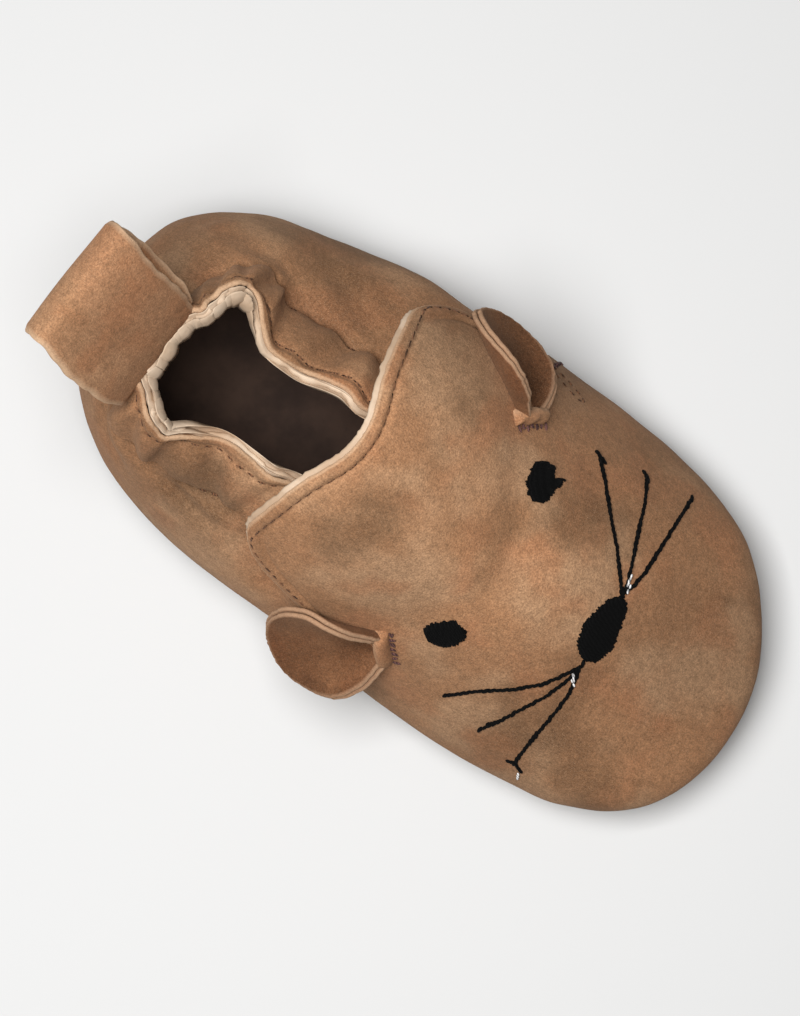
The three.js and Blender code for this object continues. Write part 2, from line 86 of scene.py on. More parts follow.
QUARTER_RUN = 170.0
QUARTER_HEIGHT = 72.0
LINING_GAP = 0.05
NAP_SIZE = 0.00032
HEEL_CENTRE_X = 30.0
TOE_CENTRE_X = 104.0
SEAM_TOP_GIRTH = 0.37

# Plan outline: along, left, right
OUTLINE = [
    (0.012, -0.03, 0.03), (0.026, 0.33, 0.38), (0.052, 0.49, 0.56), (0.112, 0.68, 0.76),
    (0.212, 0.82, 0.91), (0.35, 0.945, 0.965), (0.526, 1.01, 0.965), (0.7, 1.015, 0.95),
    (0.805, 0.955, 0.89), (0.875, 0.835, 0.82), (0.945, 0.565, 0.65), (0.985, 0.28, 0.41),
    (1.0, -0.075, 0.075),
]
# Sections of the last: along, ridge, bulge, lean, crest, flank
LAST = [
    (0.0, 1.1, 1.35, -0.19, 2.0, 2.0), (0.24, 1.08, 1.1, -0.175, 2.0, 2.0),
    (0.33, 1.04, 1.0, -0.15, 1.75, 3.0), (0.415, 1.0, 1.0, -0.085, 1.8, 2.6),
    (0.484, 0.915, 1.0, -0.07, 1.95, 2.0), (0.54, 0.828, 1.0, -0.07, 1.95, 1.6),
    (0.595, 0.727, 1.0, -0.07, 1.85, 1.42), (0.65, 0.634, 1.0, -0.06, 1.8, 1.35),
    (0.705, 0.556, 0.98, -0.045, 1.8, 1.35), (0.77, 0.449, 0.9, -0.025, 1.85, 1.45),
    (0.843, 0.325, 0.8, -0.03, 2.0, 1.7), (0.898, 0.252, 0.7, -0.045, 2.2, 2.0),
    (0.95, 0.197, 0.6, -0.06, 2.4, 2.3), (1.0, 0.165, 0.5, -0.075, 2.6, 2.6),
]
RIDGE, BULGE, LEAN, CREST, FLANK = 1, 2, 3, 4, 5
TOE_POWER = 2.7
HEEL_POWER = 2.0
# The elastic collar: along, stitch, stitch rise, mouth, mouth rise
COLLAR = [
    (0.0, 0.43, 0.765, 0.31, 1.0), (0.05, 0.48, 0.755, 0.36, 0.995), (0.1, 0.56, 0.735, 0.42, 0.985),
    (0.148, 0.59, 0.71, 0.42, 0.965), (0.2, 0.56, 0.68, 0.365, 0.92), (0.26, 0.52, 0.65, 0.285, 0.87),
    (0.31, 0.52, 0.635, 0.28, 0.84), (0.35, 0.53, 0.625, 0.295, 0.83), (0.39, 0.53, 0.615, 0.27, 0.82),
    (0.44, 0.6, 0.605, 0.39, 0.79), (0.48, 0.69, 0.59, 0.57, 0.7), (0.53, 0.81, 0.56, 0.75, 0.6),
]
# Gathers of the collar's edge: around, push, spread
GATHERS = [
    (0.13, 0.08, 0.03), (0.225, 0.13, 0.03), (0.3, -0.12, 0.03), (0.42, 0.08, 0.025),
    (0.66, 0.1, 0.025), (0.745, -0.24, 0.026), (0.8, 0.1, 0.026), (0.89, -0.07, 0.03),
]
# The tongue's free edge: along and girth at its side, across and back at its end
TONGUE_SIDE = [(0.0, 0.31), (0.4, 0.335), (0.7, 0.36), (0.88, 0.395), (1.0, 0.445)]
TONGUE_END = [(0.0, 0.0), (0.12, 0.04), (0.24, 0.18), (0.45, 0.54), (0.78, 0.89), (0.92, 1.0), (1.0, 0.86)]
WALL_SHARES = [0, 0.2, 0.4, 0.58, 0.75, 0.89, 1]
BAND_SHARES = [0, 0.12, 0.3, 0.5, 0.7, 0.88, 1]

# Puckers that the elastic draws into the band: around, slant, width, depth
PUCKERS = [
    (0.09, 0.05, 0.011, 0.9), (0.135, -0.04, 0.013, 1.5), (0.185, 0.05, 0.012, 1.3),
    (0.24, -0.05, 0.012, 1.5), (0.285, 0.06, 0.013, 1.2), (0.33, -0.03, 0.01, 0.6),
    (0.375, 0.05, 0.012, 0.7), (0.43, -0.04, 0.009, 0.5), (0.56, 0.05, 0.009, 0.9),
    (0.61, -0.05, 0.012, 1.5), (0.655, 0.04, 0.012, 1.1), (0.7, -0.06, 0.013, 1.6),
    (0.75, 0.04, 0.012, 1.3), (0.795, -0.05, 0.011, 1.4), (0.84, 0.06, 0.013, 1.3),
    (0.885, -0.04, 0.012, 1.5), (0.925, 0.03, 0.01, 0.9),
]
# Creases of the quarters: around and height at each end, depth, width in mm
QUARTER_CREASES = [
    (0.14, 0.46, 0.23, 0.3, 0.8, 3.0), (0.2, 0.49, 0.31, 0.38, 0.9, 2.6), (0.3, 0.47, 0.36, 0.3, 0.7, 3.0),
    (0.07, 0.4, 0.13, 0.2, 0.6, 4.0), (0.63, 0.44, 0.7, 0.3, 0.8, 3.0), (0.72, 0.48, 0.81, 0.36, 0.9, 2.6),
    (0.84, 0.46, 0.9, 0.25, 0.8, 3.4), (0.45, 0.4, 0.37, 0.25, -0.5, 4.0), (0.56, 0.42, 0.6, 0.2, 0.5, 4.0),
]
# Creases of the vamp and tongue: x and y at each end, depth, width in mm
VAMP_CREASES = [
    (74.0, 17.5, 84.0, 3.0, 0.55, 3.2), (76.0, -22.0, 86.0, -9.0, 0.5, 3.2), (60.0, 8.0, 72.0, 2.0, 0.5, 5.0),
    (61.0, -14.0, 73.0, -8.0, -0.35, 5.0), (88.0, 20.0, 100.0, 14.0, 0.45, 4.5),
    (88.0, -25.0, 101.0, -17.0, 0.4, 4.5), (112.0, 16.0, 122.0, 3.0, 0.35, 5.0),
    (98.0, 3.0, 110.0, 9.0, -0.3, 5.0),
]


def metres(point):
    """A point in millimetres from the heel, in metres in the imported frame."""
    return ((point[0] - SHOE_LENGTH / 2) / 1000, point[1] / 1000, point[2] / 1000)


def value_at(rows, column, at):
    """Smooth value of a table's column, through its rows."""
    keys = np.array([row[0] for row in rows], float)
    values = np.array([row[column] for row in rows], float)
    low = np.maximum(np.arange(len(keys)) - 1, 0)
    high = np.minimum(np.arange(len(keys)) + 1, len(keys) - 1)
    slopes = (values[high] - values[low]) / (keys[high] - keys[low])
    at = np.clip(np.asarray(at, float), keys[0], keys[-1])
    i = np.searchsorted(keys[1:-1], at, side="left")
    span = keys[i + 1] - keys[i]
    t = (at - keys[i]) / span
    ease = t * t * (3 - 2 * t)
    leave = t * (1 - t) ** 2 * span * slopes[i]
    arrive = t * t * (1 - t) * span * slopes[i + 1]
    return values[i] * (1 - ease) + values[i + 1] * ease + leave - arrive


def smooth(t):
    t = np.clip(t, 0, 1)
    return t * t * (3 - 2 * t)


def last_value(column, x):
    return value_at(LAST, column, np.asarray(x, float) / SHOE_LENGTH)


def spring(x):
    """Rise of the sole's underside off the floor at each end."""
    toe = np.maximum(0, (np.asarray(x, float) / SHOE_LENGTH - 0.72) / 0.28)
    heel = np.maximum(0, 1 - np.asarray(x, float) / (0.12 * SHOE_LENGTH))
    return TOE_SPRING * toe**2 + HEEL_SPRING * heel**2


def closed_curve(points, count):
    """A centripetal Catmull-Rom curve through a closed ring of points."""
    made = []
    total = len(points)
    for k in range(count + 1):
        at = total * k / count
        i = int(at)
        w = at - i
        p = [points[(i + n) % total] for n in (-1, 0, 1, 2)]
        d = [max(np.sum((p[n + 1] - p[n]) ** 2) ** 0.25, 1e-4) for n in range(3)]
        leave = ((p[1] - p[0]) / d[0] - (p[2] - p[0]) / (d[0] + d[1]) + (p[2] - p[1]) / d[1]) * d[1]
        arrive = ((p[2] - p[1]) / d[1] - (p[3] - p[1]) / (d[1] + d[2]) + (p[3] - p[2]) / d[2]) * d[1]
        a = 2 * p[1] - 2 * p[2] + leave + arrive
        b = -3 * p[1] + 3 * p[2] - 2 * leave - arrive
        made.append(((a * w + b) * w + leave) * w + p[1])
    return np.array(made)


def plan_outline():
    left = [np.array((a * SHOE_LENGTH, le * HALF_BALL)) for a, le, _ in OUTLINE]
    right = [np.array((a * SHOE_LENGTH, -ri * HALF_BALL)) for a, _, ri in OUTLINE[1:-1]]
    return closed_curve(left + right[::-1], 900)


outline = plan_outline()


class Ray:
    """A line in plan from the spine out to the outline."""

    def __init__(self, spine_x, angle):
        turn = math.radians(angle)
        self.spine = np.array((spine_x, float(HALF_BALL * last_value(LEAN, spine_x))))
        self.way = np.array((math.cos(turn), math.sin(turn)))
        from_spine = outline - self.spine
        side = self.way[0] * from_spine[:, 1] - self.way[1] * from_spine[:, 0]
        a, b = side[:-1], side[1:]
        hit = np.nonzero((a * b <= 0) & (a != b))[0]
        t = (a[hit] / (a[hit] - b[hit]))[:, None]
        places = outline[:-1][hit] * (1 - t) + outline[1:][hit] * t - self.spine
        self.reach = float(np.max(places @ self.way))
        self.foot = self.spine + self.way * self.reach
        self.toe = max(0.0, (self.foot[0] - TOE_CENTRE_X) / (SHOE_LENGTH - TOE_CENTRE_X))
        self.heel = max(0.0, (HEEL_CENTRE_X - self.foot[0]) / HEEL_CENTRE_X)
        self.crest = self.roundness(CREST)
        self.flank = self.roundness(FLANK)
        self.bulge = BULGE_RISE * float(last_value(BULGE, self.foot[0]))

    def roundness(self, column):
        side = float(last_value(column, self.spine[0]))
        toe = (TOE_POWER - side) * float(smooth(self.toe))
        heel = (HEEL_POWER - side) * float(smooth(self.heel))
        return side + toe + heel


def side_rays(start, end, angle, count):
    return [Ray(x, angle) for x in np.linspace(start, end, count + 1)]


def end_rays(centre, start, end, count):
    return [Ray(centre, a) for a in np.linspace(start, end, count + 1)]


def wall_points(ray, girth, crown=None):
    """Points of the upper's outer wall on a ray, from the feather edge (-1) to the spine (1)."""
    girth = np.asarray(girth, float)
    phi = np.maximum(girth, 0) * math.pi / 2
    share = np.where(girth >= 1, 0, np.maximum(np.cos(phi), 0) ** (2 / ray.crest))
    lift = np.sin(phi) ** (2 / ray.flank)
    tuck = np.where(girth < 0, FEATHER_TUCK * girth**2, 0)
    plan = ray.spine + (ray.reach * share - tuck)[:, None] * ray.way
    low = np.where(girth < 0, ray.bulge * (1 + girth), ray.bulge)
    top = INSTEP_RISE * last_value(RIDGE, plan[:, 0]) if crown is None else crown
    height = FEATHER + low + (top - ray.bulge) * lift + spring(plan[:, 0])
    return np.column_stack([plan, height])


def collar_on(ray):
    """Girth of the band's stitch line on a ray, the crown its height asks for, and the band's edge."""
    stitch, stitch_rise, mouth, mouth_rise = (
        float(value_at(COLLAR, c, ray.foot[0] / SHOE_LENGTH)) for c in (1, 2, 3, 4)
    )
    phi = math.acos((stitch * HALF_BALL / ray.reach) ** (ray.crest / 2))
    crown = ray.bulge + (stitch_rise * HEEL_RISE - ray.bulge) / math.sin(phi) ** (2 / ray.flank)
    plan = ray.spine + ray.way * mouth * HALF_BALL
    edge = np.array((*plan, FEATHER + mouth_rise * HEEL_RISE))
    return phi / (math.pi / 2), crown, edge


def quarter_column(ray, around, rise):
    """One line up the quarter. rise runs from -1 at the feather edge by 0 at the widest line and 0.5 at
    the stitch line to 1 at the band's edge."""
    girth, crown, edge = collar_on(ray)
    rise = np.asarray(rise, float)
    step = np.clip(rise, 0, 1) * 12
    wall_girth = np.where(rise < 0, rise, girth * np.interp(step, range(7), WALL_SHARES))
    own = wall_points(ray, wall_girth, crown)
    seat = wall_points(ray, [girth], crown)[0]
    out = np.array((*ray.way, 0.0))
    band = edge - seat
    puff_way = out * band[2] - np.array((0, 0, band @ out))
    puff_way /= np.linalg.norm(puff_way)
    push = sum(p * math.exp(-(((around - a) / s) ** 2)) for a, p, s in GATHERS)
    share = np.interp(step - 6, range(7), BAND_SHARES)
    puff = BAND_PUFF * np.sin(math.pi * share) ** 0.7
    fold = -push * GATHER_DEPTH * share**2
    banded = seat + share[:, None] * band + puff[:, None] * puff_way + fold[:, None] * out
    own = np.where((rise > 0.5)[:, None], banded, own)
    free = float(smooth((SEAM_X - ray.foot[0]) / SEAM_RELEASE))
    drop = -VAMP_STEP * (1 - float(smooth((SEAM_X - ray.foot[0]) / (2 * SEAM_RELEASE))))
    under_girth = np.where(rise < 0, rise, SEAM_TOP_GIRTH * np.clip(rise, 0, 1))
    under = wall_points(ray, under_girth)
    made = under * (1 - free) + own * free + drop * out
    made[:, 2] += drop * smooth(under_girth * 2)
    return made


# Meshes


def ripple(points, size, seed):
    """Soft, seeded unevenness between about -1 and 1, with swells of the given size in mm."""
    draw = np.random.default_rng(seed)
    total = np.zeros(len(points))
    for _ in range(9):
        way = draw.normal(size=3)
        way /= np.linalg.norm(way)
        swell = 2 * math.pi / (size * draw.uniform(0.7, 1.5))
        total += np.sin(points @ way * swell + draw.uniform(0, 6.28))
    return total / 4.2


def resampled(points, step):
    """Points at even steps along a line."""
    points = np.asarray(points, float)
    walked = np.concatenate([[0], np.cumsum(np.linalg.norm(np.diff(points, axis=0), axis=1))])
    count = max(2, int(round(walked[-1] / step)) + 1)
    at = np.linspace(0, walked[-1], count)
    return np.column_stack([np.interp(at, walked, points[:, n]) for n in range(points.shape[1])])


def grid_normals(grid):
    u = np.gradient(grid, axis=0)
    v = np.gradient(grid, axis=1)
    normal = np.cross(u, v)
    return normal / np.maximum(np.linalg.norm(normal, axis=2, keepdims=True), 1e-9)


def grid_faces(rows, columns, start=0, closed=False):
    """Quads between neighbouring points of a grid whose points are numbered row by row."""
    faces = []
    for i in range(rows if closed else rows - 1):
        k = (i + 1) % rows
        for j in range(columns - 1):
            corners = (i * columns + j, k * columns + j, k * columns + j + 1, i * columns + j + 1)
            faces.append(tuple(start + n for n in corners))
    return faces


def joined(grids):
    """Several grids of points as one list of points and one of faces."""
    points, faces = [], []
    for grid in grids:
        faces += grid_faces(grid.shape[0], grid.shape[1], sum(len(p) for p in points))
        points.append(grid.reshape(-1, 3))
    return np.concatenate(points), faces


def welded(points, faces, reach=0.004):
    shape = bmesh.new()
    for p in points:
        shape.verts.new(p)
    shape.verts.ensure_lookup_table()
    for face in faces:
        try:
            shape.faces.new([shape.verts[k] for k in face])
        except ValueError:
            pass
    bmesh.ops.remove_doubles(shape, verts=shape.verts, dist=reach)
    bmesh.ops.dissolve_degenerate(shape, dist=1e-4, edges=shape.edges)
    shape.verts.index_update()
    shape.normal_update()
    return shape


def thick_sheet(points, faces, lift, wall, round_out, turns=5, grow=0.0, fray=0.0):
    """A sheet made solid between lift and lift - wall along its normals, with rounded cut edges.
    Free edges well above the sole can grow outwards and fray. Gives the points, the faces and how far each
    point lies on a cut edge, from 0 to 1."""
    shape = welded(points, faces)
    verts = list(shape.verts)
    base = np.array([v.co for v in verts])
    normal = np.array([v.normal for v in verts])
    count = len(verts)
    made = [base + normal * lift, base + normal * (lift - wall)]
    cut = [np.zeros(count), np.zeros(count)]
    solid = []
    for face in shape.faces:
        ring = [v.index for v in face.verts]
        solid.append(tuple(ring))
        solid.append(tuple(k + count for k in reversed(ring)))
    edges = []
    out = np.zeros((count, 3))
    for edge in shape.edges:
        if edge.is_boundary:
            loop = edge.link_loops[0]
            a, b = loop.vert.index, loop.link_loop_next.vert.index
            edges.append((a, b))
            away = np.cross(base[b] - base[a], normal[a])
            out[a] += away
            out[b] += away
    rim = sorted({k for edge in edges for k in edge})
    place = {k: n for n, k in enumerate(rim)}
    out = out[rim] / np.maximum(np.linalg.norm(out[rim], axis=1, keepdims=True), 1e-9)
    ragged = 0.6 * ripple(base[rim], 1.1, 71) + 0.6 * np.random.default_rng(72).normal(size=len(rim))
    spread = out * ((grow + fray * ragged) * smooth((base[rim][:, 2] - 14) / 6))[:, None]
    made[0][rim] += spread
    made[1][rim] += spread
    middle = base[rim] + normal[rim] * (lift - wall / 2) + spread
    starts = []
    for turn in range(1, turns):
        angle = math.pi / 2 - math.pi * turn / turns
        starts.append(sum(len(p) for p in made))
        made.append(middle + normal[rim] * (wall / 2 * math.sin(angle)) + out * (round_out * math.cos(angle)))
        cut.append(np.full(len(rim), math.cos(angle)))
    cut[0][rim] = 0.5
    for a, b in edges:
        ring_a = [a] + [s + place[a] for s in starts] + [a + count]
        ring_b = [b] + [s + place[b] for s in starts] + [b + count]
        for k in range(turns):
            solid.append((ring_b[k], ring_a[k], ring_a[k + 1], ring_b[k + 1]))
    shape.free()
    return np.concatenate(made), solid, np.concatenate(cut)


# Patches of painted highlight and painted shade on the suede, seen from above: x, y, radius and strength
PAINTED_LIGHT = [
    (11, 13, 12, -0.28), (31, -24, 13, -0.22), (35, 26, 10, -0.15), (39, 12, 8, -0.42), (54, 19, 7, -0.28),
    (56, 2, 12, 0.2), (59, -20, 8, 0.12), (84, -1, 14, 0.3), (98, 28, 12, -0.2), (105, -28, 11, -0.33),
    (124, 8, 16, -0.36),
]


def painted_light_at(points):
    """How much paler (painted highlight) or darker (painted shade) than its neighbourhood the suede is
    painted.
    """
    points = np.asarray(points)
    total = np.zeros(len(points))
    for x, y, radius, strength in PAINTED_LIGHT:
        away = (points[:, 0] - x) ** 2 + (points[:, 1] - y) ** 2
        total += strength * np.exp(-away / radius**2)
    return np.exp(total) - 1


def new_piece(name, points, faces, material, cut=None, smooth_faces=True):
    """A mesh object at the origin from points in mm from the heel."""
    mesh = bpy.data.meshes.new(name)
    mesh.from_pydata([metres(p) for p in points], [], faces)
    if cut is not None:
        attribute = mesh.attributes.new("cut", "FLOAT", "POINT")
        attribute.data.foreach_set("value", np.asarray(cut, np.float32))
        # The patches of painted highlight and painted shade, kept on the piece.
        painted_light = mesh.attributes.new("painted_light", "FLOAT", "POINT")
        painted_light.data.foreach_set("value", painted_light_at(points).astype(np.float32))
    mesh.validate()
    mesh.polygons.foreach_set("use_smooth", [smooth_faces] * len(mesh.polygons))
    mesh.materials.append(material)
    piece = bpy.data.objects.new(name, mesh)
    bpy.context.scene.collection.objects.link(piece)
    return piece


def settle(piece, node=None):
    """The piece rides on the shoe and stands for its solid."""
    if node:
        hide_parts(node)
    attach(piece, "root")
    return piece


# Materials


def put(tree, kind, inputs=None, **settings):
    """A node with its settings, and its inputs given as values or as sockets to link."""
    made = tree.nodes.new(kind)
    for key, value in settings.items():
        setattr(made, key, value)
    for key, value in (inputs or {}).items():
        if isinstance(value, bpy.types.NodeSocket):
            tree.links.new(value, made.inputs[key])
        else:
            made.inputs[key].default_value = value
    return made


def ramp(tree, value, low, high, steep="EASE"):
    made = put(tree, "ShaderNodeMapRange", {0: value, 1: low, 2: high, 3: 0.0, 4: 1.0})
    made.interpolation_type = "SMOOTHSTEP" if steep == "EASE" else "LINEAR"
    return made.outputs[0]


def mix(tree, share, a, b, blend="MIX"):
    made = put(tree, "ShaderNodeMix", {0: share, 6: a, 7: b}, data_type="RGBA", blend_type=blend)
    return made.outputs[2]


def maths(tree, operation, a, b=0.0, c=None):
    inputs = {0: a, 1: b}
    if c is not None:
        inputs[2] = c
    return put(tree, "ShaderNodeMath", inputs, operation=operation).outputs[0]


def cloudy_noise(tree, vector, scale, detail=2.0, rough=0.6, twist=0.0):
    inputs = {"Vector": vector, "Scale": scale, "Detail": detail, "Roughness": rough, "Distortion": twist}
    return put(tree, "ShaderNodeTexNoise", inputs).outputs[0]


def grey(tree, value):
    return put(tree, "ShaderNodeCombineColor", {0: value, 1: value, 2: value}).outputs[0]


def group(name, inputs, outputs):
    """An empty shader group with its sockets, and its two end nodes."""
    tree = bpy.data.node_groups.new(name, "ShaderNodeTree")
    kinds = {"value": "NodeSocketFloat", "colour": "NodeSocketColor"}
    for label, kind, default in inputs:
        socket = tree.interface.new_socket(label, in_out="INPUT", socket_type=kinds[kind])
        socket.default_value = default
    for label, kind in outputs:
        tree.interface.new_socket(label, in_out="OUTPUT", socket_type=kinds[kind])
    return tree, tree.nodes.new("NodeGroupInput"), tree.nodes.new("NodeGroupOutput")


def srgb(*colour):
    """A colour given as a screen shows it, made linear."""
    linear = (c / 255 / 12.92 if c <= 10 else ((c / 255 + 0.055) / 1.055) ** 2.4 for c in colour)
    return (*linear, 1.0)


def nap_group():
    """Brushed suede: patches of lighter and darker nap, brush strokes, patches of painted highlight and
    painted shade, fine speckle, and grime mixed with painted shade low down.
    """
    tree, given, result = group(
        "brushed_nap",
        [
            ("Light", "colour", srgb(182, 144, 112)), ("Middle", "colour", srgb(160, 119, 87)),
            ("Dark", "colour", srgb(116, 80, 54)), ("Warm", "colour", srgb(156, 104, 70)),
            ("Patch Size", "value", 0.016), ("Nap Size", "value", NAP_SIZE), ("Grime And Shade", "value", 0.5),
            ("Cut", "value", 0.0), ("Cut Colour", "colour", srgb(205, 172, 140)), ("Painted Light", "value", 0.0),
        ],
        [("Colour", "colour"), ("Roughness", "value"), ("Height", "value")],
    )
    take = given.outputs
    spot = put(tree, "ShaderNodeTexCoord").outputs["Object"]
    patch = maths(tree, "DIVIDE", 1.0, take["Patch Size"])
    hair = maths(tree, "DIVIDE", 1.0, take["Nap Size"])
    moved = put(tree, "ShaderNodeVectorMath", {0: spot, 1: (0.31, 0.17, 0.53)}, operation="ADD").outputs[0]
    apart = put(tree, "ShaderNodeVectorMath", {0: spot, 1: (0.77, 0.41, 0.19)}, operation="ADD").outputs[0]
    brush = {"Vector": spot, "Rotation": (0.3, 0.2, 0.6), "Scale": (1.0, 2.2, 1.0)}
    stroked = put(tree, "ShaderNodeMapping", brush)
    pale = cloudy_noise(tree, spot, patch, 2.0, 0.5)
    deep = cloudy_noise(tree, moved, maths(tree, "MULTIPLY", patch, 0.8), 3.0, 0.5, 0.15)
    red = cloudy_noise(tree, apart, maths(tree, "MULTIPLY", patch, 1.3), 2.0, 0.5)
    strokes = cloudy_noise(tree, stroked.outputs[0], maths(tree, "MULTIPLY", patch, 5.0))
    mottle = cloudy_noise(tree, apart, maths(tree, "MULTIPLY", hair, 0.3))
    fine = cloudy_noise(tree, spot, hair, 2.0, 0.75)
    finer = cloudy_noise(tree, spot, maths(tree, "MULTIPLY", hair, 2.3), 1.0)

    tone = mix(tree, ramp(tree, pale, 0.42, 0.64), take["Middle"], take["Light"])
    tone = mix(tree, maths(tree, "MULTIPLY", ramp(tree, red, 0.48, 0.66), 0.7), tone, take["Warm"])
    tone = mix(tree, maths(tree, "MULTIPLY", ramp(tree, deep, 0.5, 0.72), 0.7), tone, take["Dark"])
    tone = mix(tree, maths(tree, "MULTIPLY", ramp(tree, strokes, 0.4, 0.66), 0.12), tone, take["Dark"])
    cloud = maths(tree, "MULTIPLY_ADD", ramp(tree, mottle, 0.3, 0.7, "LINE"), 0.3, 0.85)
    speck = maths(tree, "MULTIPLY_ADD", ramp(tree, fine, 0.3, 0.7, "LINE"), 0.7, 0.65)
    tone = mix(tree, 1.0, tone, grey(tree, maths(tree, "MULTIPLY", speck, cloud)), "MULTIPLY")
    # Painted highlight and painted shade from the patches kept on the piece.
    tone = mix(tree, 1.0, tone, grey(tree, maths(tree, "ADD", take["Painted Light"], 1.0)), "MULTIPLY")
    fibre = maths(tree, "MULTIPLY", ramp(tree, finer, 0.55, 0.75), 0.3)
    tone = mix(tree, fibre, tone, take["Cut Colour"])
    # Darker towards the bottom of the upper, near the sole: grime mixed with painted shade.
    low = ramp(tree, put(tree, "ShaderNodeSeparateXYZ", {0: spot}).outputs[2], 0.021, 0.009)
    low_grime_and_shade = maths(tree, "MULTIPLY", low, ramp(tree, deep, 0.3, 0.7))
    tone = mix(tree, maths(tree, "MULTIPLY", low_grime_and_shade, take["Grime And Shade"]), tone, srgb(84, 62, 46))
    edge = maths(tree, "MULTIPLY", take["Cut"], maths(tree, "MULTIPLY_ADD", fine, 0.9, 0.35))
    tone = mix(tree, maths(tree, "MINIMUM", edge, 0.9), tone, take["Cut Colour"])

    rise = maths(tree, "MULTIPLY_ADD", finer, 0.6, fine)
    tree.links.new(tone, result.inputs["Colour"])
    tree.links.new(maths(tree, "MULTIPLY_ADD", fine, 0.12, 0.86), result.inputs["Roughness"])
    tree.links.new(maths(tree, "MULTIPLY_ADD", strokes, 0.2, rise), result.inputs["Height"])
    return tree


nap = nap_group()


def new_material(name):
    material = bpy.data.materials.new(name)
    material.use_nodes = True
    material.node_tree.nodes.clear()
    return material, material.node_tree


def finish(tree, inputs, height=None, strength=0.4, depth=0.0002):
    """The surface shader, with its bump, wired to the material's output."""
    given = dict(inputs)
    if height is not None:
        bump = put(tree, "ShaderNodeBump", {"Height": height, "Strength": strength, "Distance": depth})
        given["Normal"] = bump.outputs[0]
    shader = put(tree, "ShaderNodeBsdfPrincipled", given)
    out = put(tree, "ShaderNodeOutputMaterial")
    tree.links.new(shader.outputs[0], out.inputs[0])


def suede(name, light, middle, dark, warm, grime_and_shade=0.5, patch=0.016, cut_colour=(205, 172, 140), painted_light=False):
    material, tree = new_material(name)
    cut = put(tree, "ShaderNodeAttribute", attribute_name="cut").outputs["Fac"]
    brushed = tree.nodes.new("ShaderNodeGroup")
    brushed.node_tree = nap
    for key, value in {
        "Light": srgb(*light), "Middle": srgb(*middle), "Dark": srgb(*dark), "Warm": srgb(*warm),
        "Patch Size": patch, "Nap Size": NAP_SIZE, "Grime And Shade": grime_and_shade, "Cut Colour": srgb(*cut_colour),
    }.items():
        brushed.inputs[key].default_value = value
    tree.links.new(cut, brushed.inputs["Cut"])
    # Painted highlight and painted shade from the piece's patches.
    if painted_light:
        shade = put(tree, "ShaderNodeAttribute", attribute_name="painted_light")
        tree.links.new(shade.outputs["Fac"], brushed.inputs["Painted Light"])
    finish(
        tree,
        {
            "Base Color": brushed.outputs["Colour"], "Roughness": brushed.outputs["Roughness"],
            "Specular IOR Level": 0.12, "Sheen Weight": 0.16, "Sheen Roughness": 0.5,
            "Sheen Tint": srgb(214, 176, 142),
        },
        brushed.outputs["Height"], 0.45, 0.0003,
    )
    return material


def leather(name, light, dark, gloss, grain=0.0011, strength=0.35):
    """Smooth lining or sock leather with a fine pebbled grain."""
    material, tree = new_material(name)
    spot = put(tree, "ShaderNodeTexCoord").outputs["Object"]
    pebbles = put(tree, "ShaderNodeTexVoronoi", {"Vector": spot, "Scale": 1 / grain}, feature="SMOOTH_F1")
    cloud = cloudy_noise(tree, spot, 90.0, 4.0)
    colour = mix(tree, ramp(tree, cloud, 0.35, 0.7), srgb(*light), srgb(*dark))
    creases = maths(tree, "MULTIPLY", ramp(tree, pebbles.outputs[0], 0.5, 0.05), 0.16)
    colour = mix(tree, creases, colour, srgb(*dark))
    rough = maths(tree, "MULTIPLY_ADD", cloud, 0.2, gloss)
    surface = {"Base Color": colour, "Roughness": rough, "Specular IOR Level": 0.15}
    finish(tree, surface, pebbles.outputs[0], strength, 0.0002)
    return material


def crepe_rubber():
    """Pebbled natural crepe: yellow at the cut side, amber brown and darker underneath and towards the
    bottom.
    """
    material, tree = new_material("crepe_rubber")
    spot = put(tree, "ShaderNodeTexCoord").outputs["Object"]
    cells = {"Vector": spot, "Scale": 520.0}
    pebbles = put(tree, "ShaderNodeTexVoronoi", cells, feature="SMOOTH_F1").outputs[0]
    crumbs = cloudy_noise(tree, spot, 900.0, 5.0, 0.65)
    cloud = cloudy_noise(tree, spot, 60.0, 5.0, 0.6, 0.8)
    height = put(tree, "ShaderNodeSeparateXYZ", {0: spot}).outputs[2]
    side = mix(tree, ramp(tree, cloud, 0.35, 0.68), srgb(176, 146, 78), srgb(134, 104, 48))
    under = mix(tree, ramp(tree, cloud, 0.3, 0.7), srgb(138, 92, 44), srgb(84, 55, 30))
    facing = put(tree, "ShaderNodeNewGeometry").outputs["Normal"]
    face = put(tree, "ShaderNodeSeparateXYZ", {0: facing}).outputs[2]
    below = maths(tree, "MAXIMUM", ramp(tree, face, -0.35, -0.85), ramp(tree, height, 0.0016, 0.0004))
    colour = mix(tree, below, side, under)
    pits = maths(tree, "MULTIPLY", ramp(tree, pebbles, 0.45, 0.8), 0.45)
    colour = mix(tree, pits, colour, srgb(70, 48, 26))
    dust = maths(tree, "MULTIPLY", ramp(tree, crumbs, 0.56, 0.72), 0.35)
    colour = mix(tree, dust, colour, srgb(214, 190, 132))
    bumps = maths(tree, "MULTIPLY_ADD", crumbs, 0.5, maths(tree, "SUBTRACT", 1.0, pebbles))
    rough = maths(tree, "MULTIPLY_ADD", crumbs, 0.3, 0.42)
    finish(tree, {"Base Color": colour, "Roughness": rough, "Specular IOR Level": 0.4}, bumps, 0.8, 0.0006)
    return material


